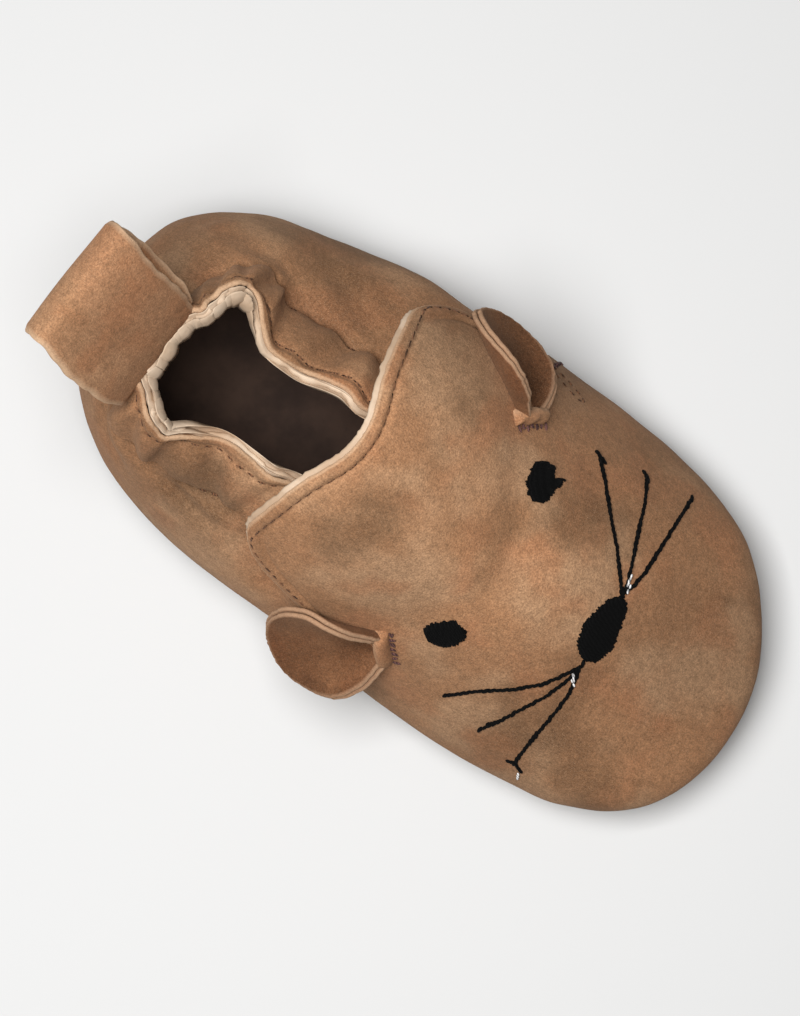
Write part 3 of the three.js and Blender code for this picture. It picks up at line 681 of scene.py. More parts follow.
def thread(name, colour, rough=0.7, sheen=0.05):
    """Twisted sewing thread: fine slanting strands across its length."""
    material, tree = new_material(name)
    spot = put(tree, "ShaderNodeTexCoord").outputs["Object"]
    twist = {"Vector": spot, "Scale": 900.0, "Distortion": 2.0, "Detail": 1.0}
    strand = put(tree, "ShaderNodeTexWave", twist, bands_direction="DIAGONAL").outputs[1]
    shadow = srgb(*(0.62 * part for part in colour))
    tone = mix(tree, ramp(tree, strand, 0.1, 0.9), srgb(*colour), shadow)
    rough = maths(tree, "MULTIPLY_ADD", strand, 0.15, rough)
    surface = {"Base Color": tone, "Roughness": rough, "Sheen Weight": sheen, "Specular IOR Level": 0.12}
    finish(tree, surface, strand, 0.5, 0.00012)
    return material


# The upper's suede carries the patches of painted highlight and painted shade.
upper_suede = suede("upper_suede", (156, 121, 91), (142, 103, 73), (97, 70, 48), (148, 102, 71), painted_light=True)
# The rand lies wholly low down, so it takes the grime mixed with painted shade in patches.
rand_suede = suede(
    "rand_suede", (146, 112, 82), (123, 88, 61), (86, 61, 42), (125, 84, 56), grime_and_shade=0.9, patch=0.011
)
# A darker copy of the upper's suede: painted shade on the ears' cupped faces.
ear_suede = suede(
    "ear_suede", (112, 76, 51), (95, 62, 40), (70, 45, 29), (99, 61, 38),
    grime_and_shade=0.0, patch=0.013, cut_colour=(172, 138, 110),
)
loop_suede = suede(
    "loop_suede", (162, 122, 90), (154, 112, 81), (128, 91, 63), (156, 107, 74), grime_and_shade=0.0, patch=0.012
)
cream_lining = leather("cream_lining", (196, 176, 154), (168, 142, 117), 0.62)
sock_leather = leather("sock_leather", (58, 43, 35), (42, 31, 26), 0.75, grain=0.0016)
crepe = crepe_rubber()
black_thread = thread("black_thread", (5, 5, 5), 0.8, 0.0)
white_thread = thread("bobbin_thread", (226, 224, 222))
tan_thread = thread("tan_thread", (116, 80, 57))
mauve_thread = thread("mauve_thread", (98, 66, 62))
# Dark marks for the needle holes: painted shade in the holes.
needle_hole_shade = thread("shaded_needle_holes", (66, 44, 32), 0.9, 0.0)


# Upper: the vamp with its tongue, and the quarters with their elastic band


def crease(points, rows):
    """How far the listed troughs (and ridges, with a negative depth) push points in, in mm."""
    total = np.zeros(len(points))
    for ax, ay, bx, by, depth, width in rows:
        a = np.array((ax, ay))
        way = np.array((bx, by)) - a
        length = np.linalg.norm(way)
        way /= length
        along = (points[:, :2] - a) @ way
        beside = points[:, :2] - a - np.clip(along, 0, length)[:, None] * way
        total += depth * np.exp(-np.sum(beside**2, axis=1) / width**2)
    return total


def vamp_grids():
    seam = TONGUE_SIDE[0][1]
    shares = np.concatenate([np.linspace(1, 0.86, 17)[:-1], np.linspace(0.86, 0, 37)])
    low = seam * np.linspace(0, 1, 15)[:-1] ** 1.2
    girths = np.concatenate([np.linspace(-1, 0, 8)[:-1], low, 1 - (1 - seam) * shares])
    rays = (
        side_rays(SEAM_X, TOE_CENTRE_X, -90, 54)
        + end_rays(TOE_CENTRE_X, -90, 90, 130)[1:-1]
        + side_rays(TOE_CENTRE_X, SEAM_X, 90, 54)
    )
    front = np.array([wall_points(ray, girths) for ray in rays])
    tongues = []
    for side in (1, -1):
        grid = []
        for along in np.concatenate([np.linspace(0, 0.7, 22)[:-1], np.linspace(0.7, 1, 20)]):
            edge = float(value_at(TONGUE_SIDE, 1, along))
            line = []
            for share in shares:
                back = float(value_at(TONGUE_END, 1, share))
                end_x = TONGUE_END_X + (TONGUE_CORNER_X - TONGUE_END_X) * back
                ray = Ray(SEAM_X + (end_x - SEAM_X) * along, 90 * side)
                line.append(wall_points(ray, [1 - (1 - edge) * share])[0])
            grid.append(line)
        tongues.append(np.array(grid))
    return front, tongues


def edge_distance(points, edge):
    tree = KDTree(len(edge))
    for k, p in enumerate(edge):
        tree.insert(p, k)
    tree.balance()
    return np.array([tree.find(p)[2] for p in points])


def shaped_vamp(points, normals):
    """The vamp's points with its creases, the leather's own unevenness, and the bead and stitched groove
    that follow the tongue's free edge."""
    loose = smooth((points[:, 2] - 12) / 14)
    move = -crease(points, VAMP_CREASES) + 0.2 * loose * ripple(points, 21, 3) + 0.07 * ripple(points, 8, 4)
    inside = edge_distance(points, tongue_rim)
    bead = BEAD_RISE * np.exp(-(((inside - 1.0) / 0.9) ** 2))
    groove = GROOVE_DEPTH * np.exp(-(((inside - EDGE_STITCH) / 0.45) ** 2))
    move += bead - groove
    return points + normals * move[:, None]


def bent(grids, shaped):
    """Grids with their points moved, using the normals of the welded surface."""
    points, faces = joined(grids)
    shape = welded(points, faces)
    tree = KDTree(len(shape.verts))
    for v in shape.verts:
        tree.insert(v.co, v.index)
    tree.balance()
    vert_normals = np.array([v.normal for v in shape.verts])
    normals = vert_normals[[tree.find(Vector(p))[1] for p in points]]
    shape.free()
    moved = shaped(points, normals)
    made, start = [], 0
    for grid in grids:
        size = grid.shape[0] * grid.shape[1]
        made.append(moved[start : start + size].reshape(grid.shape))
        start += size
    return made


def plies(name, grids, lining_grids, lining_wall, lining_grow):
    """A suede ply outside and a lining ply inside, each with its own rounded cut edge."""
    points, faces = joined(grids)
    points, faces, cut = thick_sheet(points, faces, 0, SUEDE_PLY, 0.3, fray=0.07)
    settle(new_piece(name + "_suede", points, faces, upper_suede, cut), "upper")
    points, faces = joined(lining_grids)
    under = -SUEDE_PLY - LINING_GAP
    points, faces, cut = thick_sheet(points, faces, under, lining_wall, 0.35, grow=lining_grow, fray=0.11)
    settle(new_piece(name + "_lining", points, faces, cream_lining, cut), "upper")


def surface_of(grids):
    shape = welded(*joined(grids))
    tree = BVHTree.FromBMesh(shape)
    shape.free()
    return tree


front, tongues = vamp_grids()
tongue_rim = np.concatenate([resampled(line, 0.25) for t in tongues for line in (t[:, 0], t[-1])])
front, left_tongue, right_tongue = bent([front, tongues[0], tongues[1][::-1]], shaped_vamp)
right_tongue = right_tongue[::-1]
vamp_whole = [front, left_tongue, right_tongue[::-1]]
plies("vamp", vamp_whole, vamp_whole, LINING_PLY, 0.75)
vamp_surface = surface_of(vamp_whole)


def quarter_grid():
    rays = (
        side_rays(SEAM_X + SEAM_LAP, HEEL_CENTRE_X, 90, 78)
        + end_rays(HEEL_CENTRE_X, 90, 270, 150)[1:-1]
        + side_rays(HEEL_CENTRE_X, SEAM_X + SEAM_LAP, 270, 78)
    )
    feet = np.array([ray.foot for ray in rays])
    walked = np.concatenate([[0], np.cumsum(np.linalg.norm(np.diff(feet, axis=0), axis=1))])
    around = walked / walked[-1]
    rise = np.concatenate([np.linspace(-1, 0, 7)[:-1], np.linspace(0, 0.5, 30)[:-1], np.linspace(0.5, 1, 36)])
    grid = np.array([quarter_column(ray, a, rise) for ray, a in zip(rays, around)])
    ways = np.array([(*ray.way, 0.0) for ray in rays])
    return grid, around, rise, ways


def shaped_quarters(grid, around, rise):
    """The quarters with the band's puckers, its sunken stitch line and its rolled edge."""
    a, r = around[:, None], rise[None, :]
    wave = 0.9 * np.sin(a * 2 * math.pi * 7.3 + 0.6) + 0.5 * np.sin(a * 2 * math.pi * 12.1)
    grid = grid.copy()
    grid[:, :, 2] += wave * np.exp(-(((r - 0.5) / 0.1) ** 2))
    normal = grid_normals(grid)
    ends = smooth((a - 0.04) / 0.06) * smooth((0.96 - a) / 0.06)
    window = smooth((r - 0.42) / 0.12) * (1 - 0.35 * smooth((r - 0.9) / 0.1))
    move = np.zeros(grid.shape[:2])
    for at, slant, width, depth in PUCKERS:
        move -= depth * np.exp(-(((a - at - slant * (r - 0.72)) / width) ** 2)) * window
        move += 0.45 * depth * np.exp(-(((a - at - width * 2 - slant * (r - 0.72)) / width) ** 2)) * window
    for a0, r0, a1, r1, depth, width in QUARTER_CREASES:
        start = np.array((a0 * QUARTER_RUN, r0 * QUARTER_HEIGHT))
        end = np.array((a1 * QUARTER_RUN, r1 * QUARTER_HEIGHT))
        way = end - start
        length = np.linalg.norm(way)
        way = way / length
        from_start = np.stack(np.broadcast_arrays(a * QUARTER_RUN, r * QUARTER_HEIGHT), axis=2) - start
        along = np.clip(from_start @ way, 0, length)
        beside = np.linalg.norm(from_start - along[:, :, None] * way, axis=2)
        move -= depth * np.exp(-((beside / width) ** 2))
    move -= 0.75 * np.exp(-(((r - 0.5) / 0.03) ** 2))
    move += 0.3 * smooth((r - 0.93) / 0.03) - 0.4 * np.exp(-(((r - 0.905) / 0.02) ** 2))
    flat = grid.reshape(-1, 3)
    loose = smooth((flat[:, 2] - 10) / 10)
    soft = 0.25 * ripple(flat, 19, 7) + 0.1 * ripple(flat, 7, 8)
    move = move * ends + (soft * loose).reshape(move.shape)
    return grid + normal * move[:, :, None]


def evened(grid, spread=4.0):
    """A grid with the folds between its lines smoothed out."""
    reach = int(3 * spread)
    weights = np.exp(-((np.arange(-reach, reach + 1) / spread) ** 2) / 2)
    padded = np.concatenate([np.repeat(grid[:1], reach, axis=0), grid, np.repeat(grid[-1:], reach, axis=0)])
    total = sum(w * padded[k : k + len(grid)] for k, w in enumerate(weights))
    return total / weights.sum()


def gathered_lining(quarters, around, rise, ways):
    """The lining inside the quarters: it skips the suede's puckers, stands in over the elastic of the band
    with gathers of its own, and meets the suede again at the edge."""
    a, r = around[:, None], rise[None, :]
    heel = smooth((a - 0.22) / 0.1) * smooth((0.8 - a) / 0.1)
    roll = smooth((r - 0.4) / 0.3) * smooth((1.0 - r) / 0.12)
    turns = 2 * math.pi * a
    broad = 0.5 * np.sin(17 * turns + 2.4 * np.sin(3 * turns + 1))
    small = 0.35 * np.sin(31 * turns + 1.9 * np.sin(5 * turns))
    lumps = (broad + small + 0.2 * np.sin(53 * turns + 6 * r)) * (0.35 + 0.65 * np.sin(2.3 * turns) ** 2)
    inwards = roll * (0.8 + heel * (0.8 + 0.8 * lumps))
    inwards = inwards + 0.25 * smooth((r - 0.3) / 0.2) * smooth((1 - r) / 0.1)
    meet = smooth((r - 0.9) / 0.1)[:, :, None]
    even = evened(quarters) * (1 - meet) + quarters * meet
    return even - ways[:, None, :] * inwards[:, :, None]


quarters, around, rise, ways = quarter_grid()
quarters = shaped_quarters(quarters, around, rise)
last_step = quarters[:, -1] - quarters[:, -2]
last_step /= np.linalg.norm(last_step, axis=1, keepdims=True)
lining_edge = (quarters[:, -1] + last_step * 0.35)[:, None]
lining = gathered_lining(quarters, around, rise, ways)
plies("quarter", [quarters], [np.concatenate([lining, lining_edge], axis=1)], COLLAR_LINING_PLY, 0.25)
quarter_surface = surface_of([quarters])


def heel_seam():
    """Two cut edges standing side by side up the back, butted along the heel."""
    foot = np.array((OUTLINE[0][0] * SHOE_LENGTH, OUTLINE[0][1] * HALF_BALL))
    spine = np.array((HEEL_CENTRE_X, float(HALF_BALL * last_value(LEAN, HEEL_CENTRE_X))))
    ray = Ray(HEEL_CENTRE_X, math.degrees(math.atan2(*(foot - spine)[::-1])))
    rise = np.concatenate([np.linspace(-0.9, 0, 8)[:-1], np.linspace(0, 1, 80)])
    line = quarter_column(ray, 0.5, rise)
    way = np.array((*ray.way, 0.0))
    across = np.array((-ray.way[1], ray.way[0], 0.0))
    along = np.gradient(line, axis=0)
    along /= np.linalg.norm(along, axis=1, keepdims=True)
    out = np.cross(along, across)
    out *= np.sign(out @ way)[:, None]
    h = HEEL_SEAM_HEIGHT
    section = [
        (0.05, -1.0), (0.05, h - 0.6), (0.14, h - 0.25), (0.36, h - 0.04), (0.68, h), (0.98, h - 0.15),
        (1.14, h - 0.5), (1.18, -1.0),
    ]
    points, faces, cut = [], [], []
    for side in (1, -1):
        start = len(points)
        size = len(section)
        sway = 0.1 * ripple(line, 9, 11 + side) + 0.05 * ripple(line, 3, 14 + side)
        tall = 0.16 * ripple(line, 6, 20 + side)
        for k, place in enumerate(line):
            for w, high in section:
                top = high + (tall[k] if high > 0 else 0)
                points.append(place + across * (side * w + sway[k] * (high > 0)) + out[k] * top)
                cut.append(0.85 if high > 1.3 else 0.25 if high > 0 else 0)
        ring = []
        for k in range(len(line) - 1):
            for n in range(size):
                a, b = start + k * size + n, start + k * size + (n + 1) % size
                ring.append((a, b, b + size, a + size))
        ring.append(tuple(range(start + size - 1, start - 1, -1)))
        ring.append(tuple(range(start + (len(line) - 1) * size, start + len(line) * size)))
        faces += ring if side < 0 else [face[::-1] for face in ring]
    piece = new_piece("heel_seam", points, faces, upper_suede, cut)
    outwards(piece)
    return settle(piece, "upper")


def outwards(piece):
    shape = bmesh.new()
    shape.from_mesh(piece.data)
    bmesh.ops.recalc_face_normals(shape, faces=shape.faces)
    shape.to_mesh(piece.data)
    shape.free()


heel_seam()

# Sole: crepe, the suede-wrapped midsole and the sock


def sole_rays(count):
    return (
        side_rays(HEEL_CENTRE_X, TOE_CENTRE_X, -90, count)
        + end_rays(TOE_CENTRE_X, -90, 90, int(count * 1.4))[1:-1]
        + side_rays(TOE_CENTRE_X, HEEL_CENTRE_X, 90, count)
        + end_rays(HEEL_CENTRE_X, 90, 270, int(count * 1.4))[1:-1]
    )


def sole_piece(name, count, profile, shaped, material, node, inner=(0, 0.3, 0.6, 0.85)):
    """A closed sole piece: on every ray a profile of insets and heights, from the spine below to the
    spine above."""
    grid = []
    for ray in sole_rays(count):
        steps = profile(ray)
        below = [(ray.reach * (1 - s), steps[0][1]) for s in inner]
        above = [(ray.reach * (1 - s), steps[-1][1]) for s in reversed(inner)]
        line = []
        for inset, height in below + steps + above:
            x, y = ray.spine + ray.way * (ray.reach - inset)
            line.append((x, y, height + float(spring(x))))
        grid.append(line)
    grid = shaped(np.array(grid))
    rows, columns = grid.shape[:2]
    shape = welded(grid.reshape(-1, 3), grid_faces(rows, columns, closed=True), 0.01)
    bmesh.ops.recalc_face_normals(shape, faces=shape.faces)
    points = [tuple(v.co) for v in shape.verts]
    faces = [tuple(v.index for v in face.verts) for face in shape.faces]
    shape.free()
    return settle(new_piece(name, points, faces, material), node)


def sole_out(grid):
    """Outward direction in plan of each line of a sole grid."""
    way = grid[:, grid.shape[1] // 2, :2] - grid[:, 0, :2]
    return way / np.linalg.norm(way, axis=1, keepdims=True)


def midsole_profile(ray):
    turns = np.radians(np.linspace(-90, 90, 15))
    bottom = OUTSOLE + GAP
    insets = MIDSOLE_INSET + MIDSOLE_ROLL * (1 - np.cos(turns))
    heights = bottom + MIDSOLE / 2 * (1 + np.sin(turns))
    return list(zip(insets, heights))


def wrapped(grid):
    """Small pleats and slack where the suede is pulled round the midsole."""
    way = sole_out(grid)
    flat = grid.reshape(-1, 3)
    ends = np.maximum(smooth((grid[:, :, 0] - 108) / 16), smooth((22 - grid[:, :, 0]) / 14))
    slack = (0.16 * ripple(flat * (1, 1, 0.4), 11, 31)).reshape(grid.shape[:2])
    pleats = (0.14 * ripple(flat * (1, 1, 0.1), 2.6, 33)).reshape(grid.shape[:2]) * ends
    height = grid[:, :, 2] - spring(grid[:, :, 0])
    rim = np.exp(-(((height - FEATHER + MIDSOLE / 2) / 3.2) ** 2))
    reach = np.linalg.norm(grid[:, :, :2] - grid[:, :1, :2], axis=2)
    edge = reach / reach[:, grid.shape[1] // 2][:, None]
    move = (slack + pleats) * rim * (edge > 0.9)
    made = grid.copy()
    made[:, :, :2] += way[:, None] * move[:, :, None]
    return made


sole_piece("midsole_wrap", 110, midsole_profile, wrapped, rand_suede, "wrapped_midsole")


def crepe_profile(ray):
    inset = OUTSOLE_INSET + OUTSOLE_HEEL_INSET * float(smooth(ray.heel))
    low = [(1.4, 0.0), (0.75, 0.02), (0.35, 0.18), (0.1, 0.5)]
    wall = [(0, h) for h in np.linspace(0.8, OUTSOLE - 0.15, 8)]
    return [(inset + i, h) for i, h in low + wall] + [(inset + 0.15, OUTSOLE)]


def crumbled(grid):
    """The crepe's torn, pebbled side and its rough tread."""
    way = sole_out(grid)
    made = grid.copy()
    height = grid[:, :, 2] - spring(grid[:, :, 0])
    middle = grid.shape[1] // 2
    reach = np.linalg.norm(grid[:, :, :2] - grid[:, :1, :2], axis=2)
    rim = reach > (reach[:, middle] - 1.2)[:, None]
    for i in range(grid.shape[0]):
        for j in range(grid.shape[1]):
            place = Vector(grid[i, j])
            coarse = noise.noise(place * 0.62)
            fine = noise.noise(place * 1.7 + Vector((9, 4, 2)))
            if rim[i, j] and height[i, j] < OUTSOLE - 0.05:
                low = 1 - height[i, j] / OUTSOLE
                made[i, j, :2] += way[i] * (0.42 * coarse * (0.4 + 0.6 * low) + 0.3 * fine)
                made[i, j, 2] += max(0.0, 0.9 * coarse + 0.5 * fine) * low * 0.7
            elif height[i, j] < 0.3:
                made[i, j, 2] += max(0.0, 0.35 * coarse + 0.3 * fine)
    return made


TREAD_STEPS = (0, 0.12, 0.24, 0.36, 0.48, 0.6, 0.72, 0.84, 0.93)
sole_piece("crepe_sole", 170, crepe_profile, crumbled, crepe, "outsole", TREAD_STEPS)


def sock_profile(ray):
    return [
        (INSOLE_INSET, FEATHER), (INSOLE_INSET - 0.05, FEATHER + 0.5 * INSOLE),
        (INSOLE_INSET + 0.1, FEATHER + 0.85 * INSOLE), (INSOLE_INSET + 0.5, FEATHER + INSOLE),
    ]


def dished(grid):
    made = grid.copy()
    flat = grid.reshape(-1, 3)
    top = (grid[:, :, 2] - spring(grid[:, :, 0])) > FEATHER + 0.9 * INSOLE
    made[:, :, 2] += np.where(top, 0.12 * ripple(flat, 24, 41).reshape(grid.shape[:2]), 0)
    return made


sole_piece("insole_sock", 60, sock_profile, dished, sock_leather, "insole")

# What the lens sees of a surface
LENS = np.array((82.9, -42.3, 560.0))
SCALE_PLANE = 10.0


def seen(surface, x, y):
    """The place and normal on a surface that show at plan x, y from the lens above the shoe."""
    target = np.array((x, y, SCALE_PLANE))
    way = Vector(target - LENS).normalized()
    place, normal, _, _ = surface.ray_cast(Vector(LENS), way)
    return np.array(place), np.array(normal)


def nearest(surface, points):
    found = [surface.find_nearest(Vector(p)) for p in points]
    return np.array([f[0] for f in found]), np.array([f[1] for f in found])


# Ears
EAR_PLY = 0.85
EAR_ROOT_HALF = 3.0
EAR_TIP_ARC = 0.22
EAR_TAB_HALF = 4.7
EAR_TAB_THICK = 1.45
EAR_TAB_HEIGHT = 2.8
# Each ear: node, side, root in plan from the lens, sweep, droop, tilt, length, width, lift, curl at the root
# and at the tip in degrees, sideways shift, seed
EARS = [
    ("ear_left", 1, (73.0, 24.2), 30.0, 0.08, 28.0, 18.5, 18.3, 1.2, 150.0, 70.0, -1.4, 51),
    ("ear_right", -1, (76.9, -24.4), 29.0, 0.21, 40.0, 18.8, 19.1, 2.0, 155.0, 60.0, -0.8, 61),
]


def ear_frame(side, root, sweep, droop, tilt):
    """The ear's root on the vamp, and its ways away from the root, down across it and out of its face."""
    place, _ = seen(vamp_surface, *root)
    sweep, tilt = math.radians(sweep), math.radians(tilt)
    away = np.array((-math.cos(sweep), side * math.sin(sweep), -droop))
    away /= np.linalg.norm(away)
    down = np.array((0, side * math.sin(tilt), -math.cos(tilt)))
    down -= away * (down @ away)
    down /= np.linalg.norm(down)
    return place, away, down, np.cross(away, down) * -side


def ear_width(share, width):
    return np.hypot(width * np.sqrt(np.maximum(share * (1 - share), 0)), EAR_ROOT_HALF * (1 - share) ** 3)


def ear_piece(node, side, root, sweep, droop, tilt, length, width, lift, curl_root, curl_tip, shift, seed):
    """Two suede plies, folded to a gutter at the root and opening into a shallow round cup."""
    place, away, down, face = ear_frame(side, root, sweep, droop, tilt)
    across = np.linspace(-1, 1, 41)
    grid = []
    for q in np.linspace(0, 1, 42):
        turn = math.pi * (1 - q) + EAR_TIP_ARC * math.pi * q
        end_share = (1 + math.cos(turn)) / 2
        share = np.clip(q + (end_share - q) * across**2, 0, 1)
        flat = float(ear_width(end_share, width)) * across
        pinch = 1 - smooth(share / 0.75)
        curl = np.radians(curl_tip + (curl_root - curl_tip) * pinch) / 2
        half = np.where(share < 0.5, ear_width(share, width), width / 2)
        radius = half / curl
        beside = radius * np.sin(flat / radius) + shift * smooth(share * 2)
        rise = radius * (1 - np.cos(flat / radius)) + lift * smooth(share * 2.2)
        rise -= 0.4 * (1 - smooth(share * 8))
        grid.append(place + share[:, None] * length * away + beside[:, None] * down + rise[:, None] * face)
    grid = np.array(grid)
    if side > 0:
        grid = grid[::-1]
    flat = grid.reshape(-1, 3)
    soft = 0.16 * ripple(flat, 9, seed) + 0.06 * ripple(flat, 3.6, seed + 1)
    grid = grid + grid_normals(grid) * soft.reshape(grid.shape[:2])[:, :, None]
    points, faces, cut = thick_sheet(*joined([grid]), 0, EAR_PLY, 0.2, 6, fray=0.1)
    back = thick_sheet(*joined([grid]), -EAR_PLY - 0.1, EAR_PLY, 0.3, 6, grow=0.1, fray=0.1)
    faces = faces + [tuple(k + len(points) for k in ring) for ring in back[1]]
    points = np.concatenate([points, back[0]])
    piece = new_piece(node + "_suede", points, faces, ear_suede, np.concatenate([cut, back[2]]))
    return settle(piece, node)


def ear_tab(node, side, root, sweep, droop, tilt, seed):
    """The lip of the vamp's slit, raised over the ear's root."""
    place, away, down, _ = ear_frame(side, root, sweep, droop, tilt)
    along = np.linspace(-1, 1, 31)
    seat, normal = nearest(vamp_surface, [place + down * EAR_TAB_HALF * t - away * 0.6 for t in along])
    sway = 0.35 * ripple(seat, 4, seed + 2)
    turns = np.linspace(-25, 205, 15)
    grid = []
    for k, t in enumerate(along):
        swell = (1 - abs(t) ** 3.5) ** 0.5
        line = []
        for turn in np.radians(turns):
            beside = EAR_TAB_THICK * math.cos(turn) + sway[k]
            height = EAR_TAB_HEIGHT * math.sin(turn) * swell - 0.25
            line.append(seat[k] + away * beside + normal[k] * height)
        grid.append(line)
    points, faces = joined([np.array(grid)])
    cut = np.tile(0.4 * np.exp(-(((turns - 40) / 35) ** 2)), len(along))
    piece = new_piece(node + "_lip", points, faces, upper_suede, cut)
    outwards(piece)
    return settle(piece, "upper")


for ear in EARS:
    ear_piece(*ear)
    ear_tab(*ear[:6], ear[-1])

# Pull loop
LOOP_WIDTH = 21.5
LOOP_REACH = 24.2
LOOP_BELLY = 6.0
LOOP_FLATNESS = 0.3
LOOP_SEAT = 0.9
LOOP_SKEW = -1.2
LOOP_THICKNESS = 1.7
LOOP_TAIL_THICKNESS = 0.8
LOOP_TAIL_WIDTH = LOOP_WIDTH - 2
LOOP_TAIL_PART = 0.45
LOOP_PITCH = 57.5
LOOP_TAIL = 3.0
LOOP_Y = -9.8


def loop_strap():
    """A strap folded into a teardrop, both ends tucked down inside the collar."""
    _, _, edge = collar_on(Ray(HEEL_CENTRE_X, 180))
    root = np.array((edge[0] + LOOP_SEAT, edge[2] + 2 * GAP))
    pitch = math.radians(LOOP_PITCH)
    back = np.array((-math.cos(pitch), math.sin(pitch)))
    up = np.array((math.sin(pitch), math.cos(pitch)))
    tail = (LOOP_TAIL_WIDTH, LOOP_TAIL_THICKNESS)
    rises = np.linspace(-LOOP_TAIL, -LOOP_TAIL_THICKNESS, 8)
    path = [(root[0] + LOOP_TAIL_PART, root[1] + k, *tail) for k in rises]
    for t in np.linspace(0.022, 0.978, 96):
        belly = LOOP_BELLY * (LOOP_FLATNESS if t < 0.5 else 1.0) * math.sin(2 * math.pi * t)
        place = root + back * LOOP_REACH * math.sin(math.pi * t) + up * belly
        open_share = float(smooth(min(t, 1 - t) / 0.07))
        wide = LOOP_WIDTH - 2 * (1 - float(smooth(min(t, 1 - t) / 0.05)))
        thick = LOOP_TAIL_THICKNESS + (LOOP_THICKNESS - LOOP_TAIL_THICKNESS) * open_share
        path.append((*place, wide, thick))
    path += [(root[0] - LOOP_TAIL_PART, root[1] + k, *tail) for k in rises[::-1]]
    path = np.array(path)
    along = np.gradient(path[:, :2], axis=0)
    along /= np.linalg.norm(along, axis=1, keepdims=True)
    across = np.linspace(-1, 1, 25)
    points, faces, cut = [], [], []
    ring = [(b, 1) for b in across] + [(1.0, 0.35), (1.0, -0.35)]
    ring += [(b, -1) for b in across[::-1]] + [(-1.0, -0.35), (-1.0, 0.35)]
    size = len(ring)
    lengths = np.concatenate([[0], np.cumsum(np.linalg.norm(np.diff(path[:, :2], axis=0), axis=1))])
    for k, (x, z, wide, thick) in enumerate(path):
        ny = np.array((-along[k, 1], along[k, 0]))
        skew = LOOP_SKEW * math.sin(lengths[k] / lengths[-1] * math.pi * 2)
        for b, h in ring:
            round_edge = 1 - 0.35 * max(0.0, abs(b) - 0.93) / 0.07 * (abs(h) > 0.5)
            sway = 0.16 * math.sin(lengths[k] * 0.41 + 3 * b) + 0.1 * math.sin(lengths[k] * 1.3 + b)
            off = ny * (h * thick / 2 * round_edge)
            side = wide / 2 * b + (0.22 if abs(h) < 0.5 else 0) * math.copysign(1, b) * (abs(b) > 0.99)
            clear = float(smooth(min(k, len(path) - 1 - k) / 30))
            off = off + ny * (0.15 * math.sin(b * 2.4 + lengths[k] * 0.16) * clear)
            points.append((x + off[0], LOOP_Y + side + sway * (abs(b) > 0.8) + skew, z + off[1]))
            cut.append(1.0 if abs(h) < 0.5 else 0.85 if abs(b) > 0.99 else 0.0)
    for k in range(len(path) - 1):
        for n in range(size):
            a, b = k * size + n, k * size + (n + 1) % size
            faces.append((a, b, b + size, a + size))
    faces += [tuple(range(size)), tuple(range(len(points) - 1, len(points) - 1 - size, -1))]
    piece = new_piece("loop_strap", points, faces, loop_suede, cut)
    outwards(piece)
    return settle(piece, "pull_loop")


loop_strap()

# Thread: every stitch lies on the leather that carries it


def tree_socket(tree, name):
    sockets = (item for item in tree.interface.items_tree if item.item_type == "SOCKET")
    return next(item.identifier for item in sockets if item.in_out == "INPUT" and item.name == name)


def geometry_tree(name, sockets):
    tree = bpy.data.node_groups.new(name, "GeometryNodeTree")
    tree.interface.new_socket("Geometry", in_out="INPUT", socket_type="NodeSocketGeometry")
    for label, kind, default in sockets:
        made = tree.interface.new_socket(label, in_out="INPUT", socket_type=kind)
        if default is not None:
            made.default_value = default
    tree.interface.new_socket("Geometry", in_out="OUTPUT", socket_type="NodeSocketGeometry")
    return tree, tree.nodes.new("NodeGroupInput"), tree.nodes.new("NodeGroupOutput")


def painted_mesh(tree, geometry, material, result):
    """The last nodes of a tree: smooth, made real and given its material."""
    soft = put(tree, "GeometryNodeSetShadeSmooth", {0: geometry})
    real = put(tree, "GeometryNodeRealizeInstances", {0: soft.outputs[0]})
    painted = put(tree, "GeometryNodeSetMaterial", {"Geometry": real.outputs[0], "Material": material})
    tree.links.new(painted.outputs[0], result.inputs[0])


def laid_thread_tree():
    """A thread of a given thickness along each line of the mesh."""
    tree, given, result = geometry_tree(
        "laid_thread",
        [
            ("Thickness", "NodeSocketFloat", 0.0004), ("Sides", "NodeSocketInt", 6),
            ("Thread", "NodeSocketMaterial", None),
        ],
    )
    take = given.outputs
    line = put(tree, "GeometryNodeMeshToCurve", {"Mesh": take["Geometry"]})
    half = maths(tree, "MULTIPLY", take["Thickness"], 0.5)
    ring = put(tree, "GeometryNodeCurvePrimitiveCircle", {"Resolution": take["Sides"], "Radius": half})
    laid = {"Curve": line.outputs[0], "Profile Curve": ring.outputs[0], "Fill Caps": True}
    tube = put(tree, "GeometryNodeCurveToMesh", laid)
    painted_mesh(tree, tube.outputs[0], take["Thread"], result)
    return tree


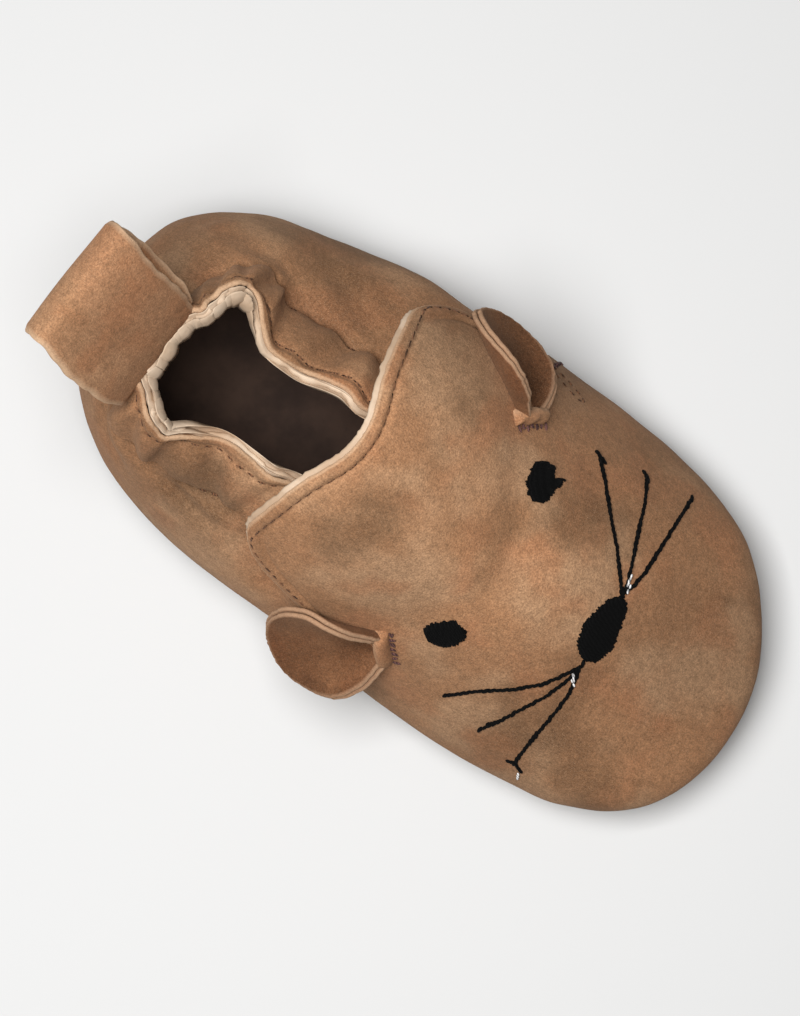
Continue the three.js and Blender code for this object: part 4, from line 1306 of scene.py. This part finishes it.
def stitch_run_tree():
    """A stitch at every pitch along each line: a short rounded thread that leans a little and sinks at
    its ends, turned to the leather by the line's own normal."""
    tree, given, result = geometry_tree(
        "stitch_run",
        [
            ("Pitch", "NodeSocketFloat", 0.002), ("Length", "NodeSocketFloat", 0.0016),
            ("Thickness", "NodeSocketFloat", 0.0006), ("Flatness", "NodeSocketFloat", 0.7),
            ("Lean", "NodeSocketFloat", 0.1), ("Lean Spread", "NodeSocketFloat", 0.1),
            ("Seed", "NodeSocketInt", 1), ("Thread", "NodeSocketMaterial", None),
        ],
    )
    take = given.outputs
    line = put(tree, "GeometryNodeMeshToCurve", {"Mesh": take["Geometry"]})
    spaced = {"Curve": line.outputs[0], "Length": take["Pitch"]}
    spots = put(tree, "GeometryNodeCurveToPoints", spaced, mode="LENGTH")
    named = {"Name": "leather_normal"}
    normal = put(tree, "GeometryNodeInputNamedAttribute", named, data_type="FLOAT_VECTOR")
    up = put(tree, "FunctionNodeAlignRotationToVector", {"Vector": normal.outputs[0]}, axis="Z")
    along = put(
        tree, "FunctionNodeAlignRotationToVector",
        {"Rotation": up.outputs[0], "Vector": spots.outputs["Tangent"]}, axis="X", pivot_axis="Z",
    )
    lean = put(tree, "FunctionNodeRandomValue", {"Seed": take["Seed"]}, data_type="FLOAT")
    tree.links.new(maths(tree, "SUBTRACT", take["Lean"], take["Lean Spread"]), lean.inputs[2])
    tree.links.new(maths(tree, "ADD", take["Lean"], take["Lean Spread"]), lean.inputs[3])
    turn = put(tree, "FunctionNodeAxisAngleToRotation", {"Axis": (0, 0, 1)})
    tree.links.new(lean.outputs[1], turn.inputs["Angle"])
    turned = put(
        tree, "FunctionNodeRotateRotation", {0: along.outputs[0], 1: turn.outputs[0]}, rotation_space="LOCAL"
    )
    size = put(tree, "FunctionNodeRandomValue", {"Seed": take["Seed"]}, data_type="FLOAT")
    size.inputs[2].default_value = 0.88
    size.inputs[3].default_value = 1.1
    ball = put(tree, "GeometryNodeMeshUVSphere", {"Segments": 8, "Rings": 6, "Radius": 0.5})
    thick = maths(tree, "MULTIPLY", take["Thickness"], take["Flatness"])
    shape = put(tree, "ShaderNodeCombineXYZ", {0: take["Length"], 1: take["Thickness"], 2: thick})
    stitch = put(tree, "GeometryNodeTransform", {"Geometry": ball.outputs["Mesh"], "Scale": shape.outputs[0]})
    placed = put(
        tree, "GeometryNodeInstanceOnPoints",
        {
            "Points": spots.outputs["Points"], "Instance": stitch.outputs[0],
            "Rotation": turned.outputs[0], "Scale": size.outputs[1],
        },
    )
    painted_mesh(tree, placed.outputs[0], take["Thread"], result)
    return tree


laid_thread = laid_thread_tree()
stitch_run = stitch_run_tree()


def grown(name, lines, tree, values):
    """The mesh that a geometry tree makes from lines of (points, normals), each in mm from the heel."""
    points, edges, normals = [], [], []
    for line, line_normals in lines:
        start = len(points)
        points += [metres(p) for p in line]
        normals += [tuple(n) for n in line_normals]
        edges += [(start + k, start + k + 1) for k in range(len(line) - 1)]
    mesh = bpy.data.meshes.new(name)
    mesh.from_pydata(points, edges, [])
    attribute = mesh.attributes.new("leather_normal", "FLOAT_VECTOR", "POINT")
    attribute.data.foreach_set("vector", np.array(normals, np.float32).ravel())
    piece = bpy.data.objects.new(name, mesh)
    bpy.context.scene.collection.objects.link(piece)
    modifier = piece.modifiers.new(name, "NODES")
    modifier.node_group = tree
    for key, value in values.items():
        modifier[tree_socket(tree, key)] = value
    bpy.context.view_layer.update()
    graph = bpy.context.evaluated_depsgraph_get()
    made = bpy.data.meshes.new_from_object(piece.evaluated_get(graph), depsgraph=graph)
    made.name = name
    piece.modifiers.clear()
    piece.data = made
    bpy.data.meshes.remove(mesh)
    return settle(piece)


def lifted(surface, points, height):
    places, normals = nearest(surface, points)
    return places + normals * height, normals


# Outlines of the satin-stitched patches and lines of the whiskers, in plan from the lens
LEFT_EYE = [
    (80.0, 18.8), (81.3, 19.2), (82.6, 19.4), (83.0, 18.6), (83.6, 17.7), (84.4, 18.1), (85.2, 18.6),
    (85.4, 17.6), (85.0, 16.5), (85.0, 14.2), (84.4, 12.9), (83.0, 12.4), (81.8, 12.7), (80.9, 13.6),
    (80.1, 14.3), (79.9, 15.6), (79.4, 16.8), (79.4, 18.0),
]
RIGHT_EYE = [
    (85.0, -12.8), (86.5, -13.1), (87.6, -12.9), (88.0, -14.4), (87.4, -16.0), (86.2, -17.4), (84.6, -18.1),
    (83.2, -18.2), (82.2, -17.7), (81.4, -17.3), (81.5, -16.3), (82.1, -15.4), (83.3, -14.2), (84.2, -13.2),
]
NOSE = [
    (105.7, 8.1), (106.4, 8.0), (107.3, 7.2), (108.0, 5.6), (108.7, 3.5), (109.3, 1.4), (109.6, -0.4),
    (109.2, -2.2), (108.6, -3.7), (107.4, -4.4), (106.2, -4.4), (105.2, -3.8), (104.2, -3.0),
    (103.7, -1.2), (103.2, 0.3), (103.3, 2.4), (103.6, 4.6), (104.0, 6.3), (104.8, 7.6),
]
WHISKERS = [
    [(87.6, 25.6), (91.0, 22.7), (95.5, 18.3), (99.6, 14.6), (103.0, 11.0), (105.2, 8.6)],
    [(96.6, 27.6), (98.9, 23.8), (101.2, 18.6), (103.6, 13.6), (105.3, 9.7)],
    [(105.0, 29.4), (105.5, 23.0), (105.9, 18.0), (106.2, 14.0), (106.0, 11.0), (105.3, 8.9)],
    [(105.1, 9.0), (105.5, 7.4)],
    [(91.3, -24.1), (95.2, -20.2), (100.0, -16.2), (103.7, -12.2), (105.6, -8.8), (106.8, -6.4)],
    [(99.6, -25.2), (101.2, -22.6), (103.0, -18.6), (105.2, -14.0), (106.6, -9.4), (106.9, -7.4)],
    [(107.9, -26.3), (107.9, -22.0), (108.3, -15.0), (108.3, -11.0), (107.6, -8.0), (107.1, -6.4)],
    [(107.0, -3.8), (107.1, -6.6)],
]
# Short bars that end some of the whiskers
WHISKER_FEET = [
    [(86.9, 25.9), (88.9, 25.3)], [(95.6, 28.0), (97.0, 27.2)], [(96.6, 27.5), (97.4, 26.1)],
    [(105.0, 29.4), (105.1, 27.7)], [(106.9, -26.6), (107.9, -26.2), (109.6, -26.7)],
    [(100.2, -23.6), (101.3, -22.2)], [(91.2, -24.1), (92.2, -23.2)],
]
BOBBIN_SPECKS = [
    [(104.5, 12.0), (104.9, 10.4)], [(105.4, 10.4), (105.6, 9.5)], [(106.8, -7.8), (107.4, -8.5)],
    [(107.2, -8.7), (107.9, -9.1)], [(109.6, -27.2), (109.9, -27.8)],
]


def satin(surface, ring, angle, spacing, puff, seed):
    """Threads laid side by side across an outline, arched over a little padding, with uneven ends."""
    draw = random.Random(seed)
    turn = math.radians(angle)
    way = np.array((math.cos(turn), math.sin(turn)))
    side = np.array((-way[1], way[0]))
    ring = np.array(ring)
    u, v = ring @ way, ring @ side
    lines = []
    at = v.min() + spacing / 2
    while at < v.max():
        crossings = []
        for k in range(len(ring)):
            a, b = k, (k + 1) % len(ring)
            if (v[a] - at) * (v[b] - at) < 0:
                t = (at - v[a]) / (v[b] - v[a])
                crossings.append(u[a] + t * (u[b] - u[a]))
        crossings.sort()
        for start, end in zip(crossings[::2], crossings[1::2]):
            start -= draw.uniform(-0.12, 0.28)
            end += draw.uniform(-0.12, 0.28)
            if end - start < 0.5:
                continue
            sway = draw.uniform(-0.12, 0.12)
            places, normals = [], []
            for t in np.linspace(0, 1, 9):
                plan = way * (start + t * (end - start)) + side * (at + sway * (t - 0.5))
                place, normal = seen(surface, *plan)
                arch = (1 - (2 * t - 1) ** 6) * min(1.0, (end - start) / 2)
                loose = 0.08 * draw.random() * (0 < t < 1)
                places.append(place + normal * (loose + puff * arch - 0.15))
                normals.append(normal)
            lines.append((places, normals))
        at += spacing * draw.uniform(0.85, 1.15)
    return lines


def whisker_line(line):
    path = resampled(line, 0.6)
    made = [seen(vamp_surface, x, y) for x, y in path]
    return [p + n * 0.12 for p, n in made], [n for _, n in made]


SATIN_PATCHES = [
    ("eye_left_satin", LEFT_EYE, 24, 5), ("eye_right_satin", RIGHT_EYE, -28, 6), ("nose_satin", NOSE, 3, 7),
]
for name, ring, angle, seed in SATIN_PATCHES:
    lines = satin(vamp_surface, ring, angle, 0.27, 0.5, seed)
    padding = np.array(ring) * 0.94 + np.mean(ring, axis=0) * 0.06
    under = satin(vamp_surface, padding, angle + 90, 0.4, 0.22, seed + 20)
    grown(name, lines + under, laid_thread, {"Thickness": 0.00042, "Sides": 6, "Thread": black_thread})



def stitched(name, lines, thread_material, pitch, length, thickness, flatness, lean, spread, seed):
    """Stitches along lines of (points, normals). Sizes in mm."""
    grown(name, lines, stitch_run, {
        "Pitch": pitch / 1000, "Length": length / 1000, "Thickness": thickness / 1000,
        "Flatness": flatness, "Lean": lean, "Lean Spread": spread, "Seed": seed, "Thread": thread_material,
    })


whiskers = [whisker_line(line) for line in WHISKERS]
stitched("whisker_stitches", whiskers, black_thread, 1.05, 1.8, 0.72, 0.8, 0.3, 0.16, 3)
feet = [whisker_line(line) for line in WHISKER_FEET]
stitched("whisker_feet", feet, black_thread, 0.6, 1.2, 0.75, 0.9, 0.2, 0.4, 4)
specks = []
for places, normals in map(whisker_line, BOBBIN_SPECKS):
    specks.append(([p + n * 0.28 for p, n in zip(places, normals)], normals))
stitched("bobbin_specks", specks, white_thread, 0.5, 0.9, 0.42, 0.8, 0.1, 0.3, 8)


def sewn(
    name, lines, surface, thread_material, pitch, length, thickness, seed,
    sink=0.05, lean=0.12, spread=0.1, holes=True,
):
    """A row of stitches along lines on the leather, with dark marks between them as painted shade in the
    needle holes.
    """
    laid = [lifted(surface, resampled(line, 0.5), thickness * 0.25 - sink) for line in lines]
    stitched(name, laid, thread_material, pitch, length, thickness, 0.75, lean, spread, seed)
    if holes:
        between = []
        for line in lines:
            path = resampled(line, 0.1)
            skip = int(round(pitch / 2 / 0.1))
            if len(path) > skip + 8:
                between.append(lifted(surface, resampled(path[skip:], 0.5), 0.0))
        # Dark marks between the stitches: painted shade in the needle holes.
        stitched(name + "_holes", between, needle_hole_shade, pitch, 0.7, 0.4, 0.3, lean, 0.2, seed + 1)


def inset_line(grid, distance, skip):
    """Points a distance in from the first point of each line of a grid, leaving out the ends."""
    made = []
    for line in grid:
        walked = np.concatenate([[0], np.cumsum(np.linalg.norm(np.diff(line, axis=0), axis=1))])
        made.append([np.interp(distance, walked, line[:, n]) for n in range(3)])
    made = np.array(made)
    walked = np.concatenate([[0], np.cumsum(np.linalg.norm(np.diff(made, axis=0), axis=1))])
    return made[(walked > skip[0]) & (walked < walked[-1] - skip[1])]


def tongue_edge(grid):
    """The stitch line round a tongue half: up its free side and across its end to the middle."""
    side = inset_line(grid, EDGE_STITCH, (1.0, EDGE_STITCH))
    end = inset_line(grid[::-1].transpose(1, 0, 2), EDGE_STITCH, (EDGE_STITCH, 0.0))
    return np.concatenate([side, end])


left_edge, right_edge = tongue_edge(left_tongue), tongue_edge(right_tongue)
tongue_line = np.concatenate([left_edge, right_edge[::-1]])
sewn("tongue_stitches", [tongue_line], vamp_surface, tan_thread, 2.1, 1.5, 0.34, 11, sink=0.08)

for side, grid in (("right", front), ("left", front[::-1])):
    seam = inset_line(grid.transpose(1, 0, 2), 2.7, (1.0, 0.0))
    seam = seam[seam[:, 2] < 36]
    name = f"side_seam_stitches_{side}"
    sewn(name, [seam], vamp_surface, mauve_thread, 2.5, 1.5, 0.75, 21, sink=0.1, lean=0.45)
    turn = -1 if side == "right" else 1
    bar = [(72.8, 32.0), (76.5, 32.3), (80.0, 31.8), (81.0, 30.4), (80.2, 28.9), (76.5, 28.6), (72.9, 29.2)]
    bar = resampled([(x, turn * 34.0, z) for x, z in bar], 0.5)
    bar = nearest(vamp_surface, bar)[0]
    sewn(f"tack_stitches_{side}", [bar], vamp_surface, tan_thread, 1.9, 1.3, 0.45, 31, lean=0.2, holes=False)

stitch_row = int(np.argmin(np.abs(rise - 0.5)))
edge_row = int(np.argmin(np.abs(rise - 0.905)))
inner = slice(14, len(around) - 14)
band, collar_edge = quarters[inner, stitch_row], quarters[inner, edge_row]
sewn("band_stitches", [band], quarter_surface, tan_thread, 2.4, 1.5, 0.5, 41, sink=0.0)
sewn("collar_edge_stitches", [collar_edge], quarter_surface, tan_thread, 2.2, 1.5, 0.36, 43)

for ear in EARS:
    place, away, down, _ = ear_frame(*ear[1:6])
    rows = []
    for back in (2.2, 2.6):
        sways = [(w, 0.3 * math.sin(2.3 * w + back) - back) for w in np.linspace(-3.9, 3.9, 14)]
        rows.append([place + down * w + away * ahead for w, ahead in sways])
    sewn(
        ear[0] + "_tack", rows, vamp_surface, mauve_thread, 1.35, 1.25, 0.5, ear[-1],
        sink=-0.05, lean=0.7, spread=0.9, holes=False,
    )

# Floor, light and camera


def floor_material():
    material, tree = new_material("pale_floor")
    spot = put(tree, "ShaderNodeTexCoord").outputs["Object"]
    cloud = put(tree, "ShaderNodeTexNoise", {"Vector": spot, "Scale": 3.0, "Detail": 2.0})
    colour = mix(tree, cloud.outputs[0], (0.62, 0.62, 0.617, 1), (0.6, 0.6, 0.597, 1))
    finish(tree, {"Base Color": colour, "Roughness": 0.85, "Specular IOR Level": 0.1})
    return material


floor_mesh = bpy.data.meshes.new("floor")
floor_mesh.from_pydata([(x, y, 0) for x, y in ((-4, -4), (4, -4), (4, 4), (-4, 4))], [], [(0, 1, 2, 3)])
floor_mesh.materials.append(floor_material())
floor = bpy.data.objects.new("floor", floor_mesh)
bpy.context.scene.collection.objects.link(floor)

world = bpy.data.worlds.new("studio")
bpy.context.scene.world = world
world.use_nodes = True
world.node_tree.nodes["Background"].inputs[0].default_value = (1.0, 0.99, 0.975, 1)
world.node_tree.nodes["Background"].inputs[1].default_value = 0.05


def softbox(name, place, aim, size, power):
    light = bpy.data.lights.new(name, "AREA")
    light.shape = "RECTANGLE"
    light.size, light.size_y = size
    light.energy = power
    lamp = bpy.data.objects.new(name, light)
    lamp.location = place
    lamp.rotation_euler = (Vector(aim) - Vector(place)).to_track_quat("-Z", "Y").to_euler()
    bpy.context.scene.collection.objects.link(lamp)
    return lamp


softbox("top_softbox", place=(-0.07, -0.09, 0.64), aim=(0, 0, 0.02), size=(0.32, 0.32), power=6.4)

PHOTO_WIDTH = 800
ROLL = math.radians(37.16)
FOCAL_PIXELS = 2915.0
ZOOM = 1.08
eye = Vector(metres(LENS))
aim = Vector((-0.002, -0.0035, 0.02))
camera_data = bpy.data.cameras.new("camera")
camera_data.sensor_fit = "HORIZONTAL"
camera_data.sensor_width = 36
camera_data.lens = FOCAL_PIXELS * ZOOM * 36 / PHOTO_WIDTH
camera_data.clip_start = 0.01
camera = bpy.data.objects.new("camera", camera_data)
back = (eye - aim).normalized()
right = Vector((math.cos(ROLL), math.sin(ROLL), 0))
right = (right - back * right.dot(back)).normalized()
up = back.cross(right)
camera.matrix_world = Matrix([(*row, 0) for row in (right, up, back)] + [(*eye, 1)]).transposed()
bpy.context.scene.collection.objects.link(camera)
bpy.context.scene.camera = camera
bpy.context.scene.view_settings.view_transform = "Standard"
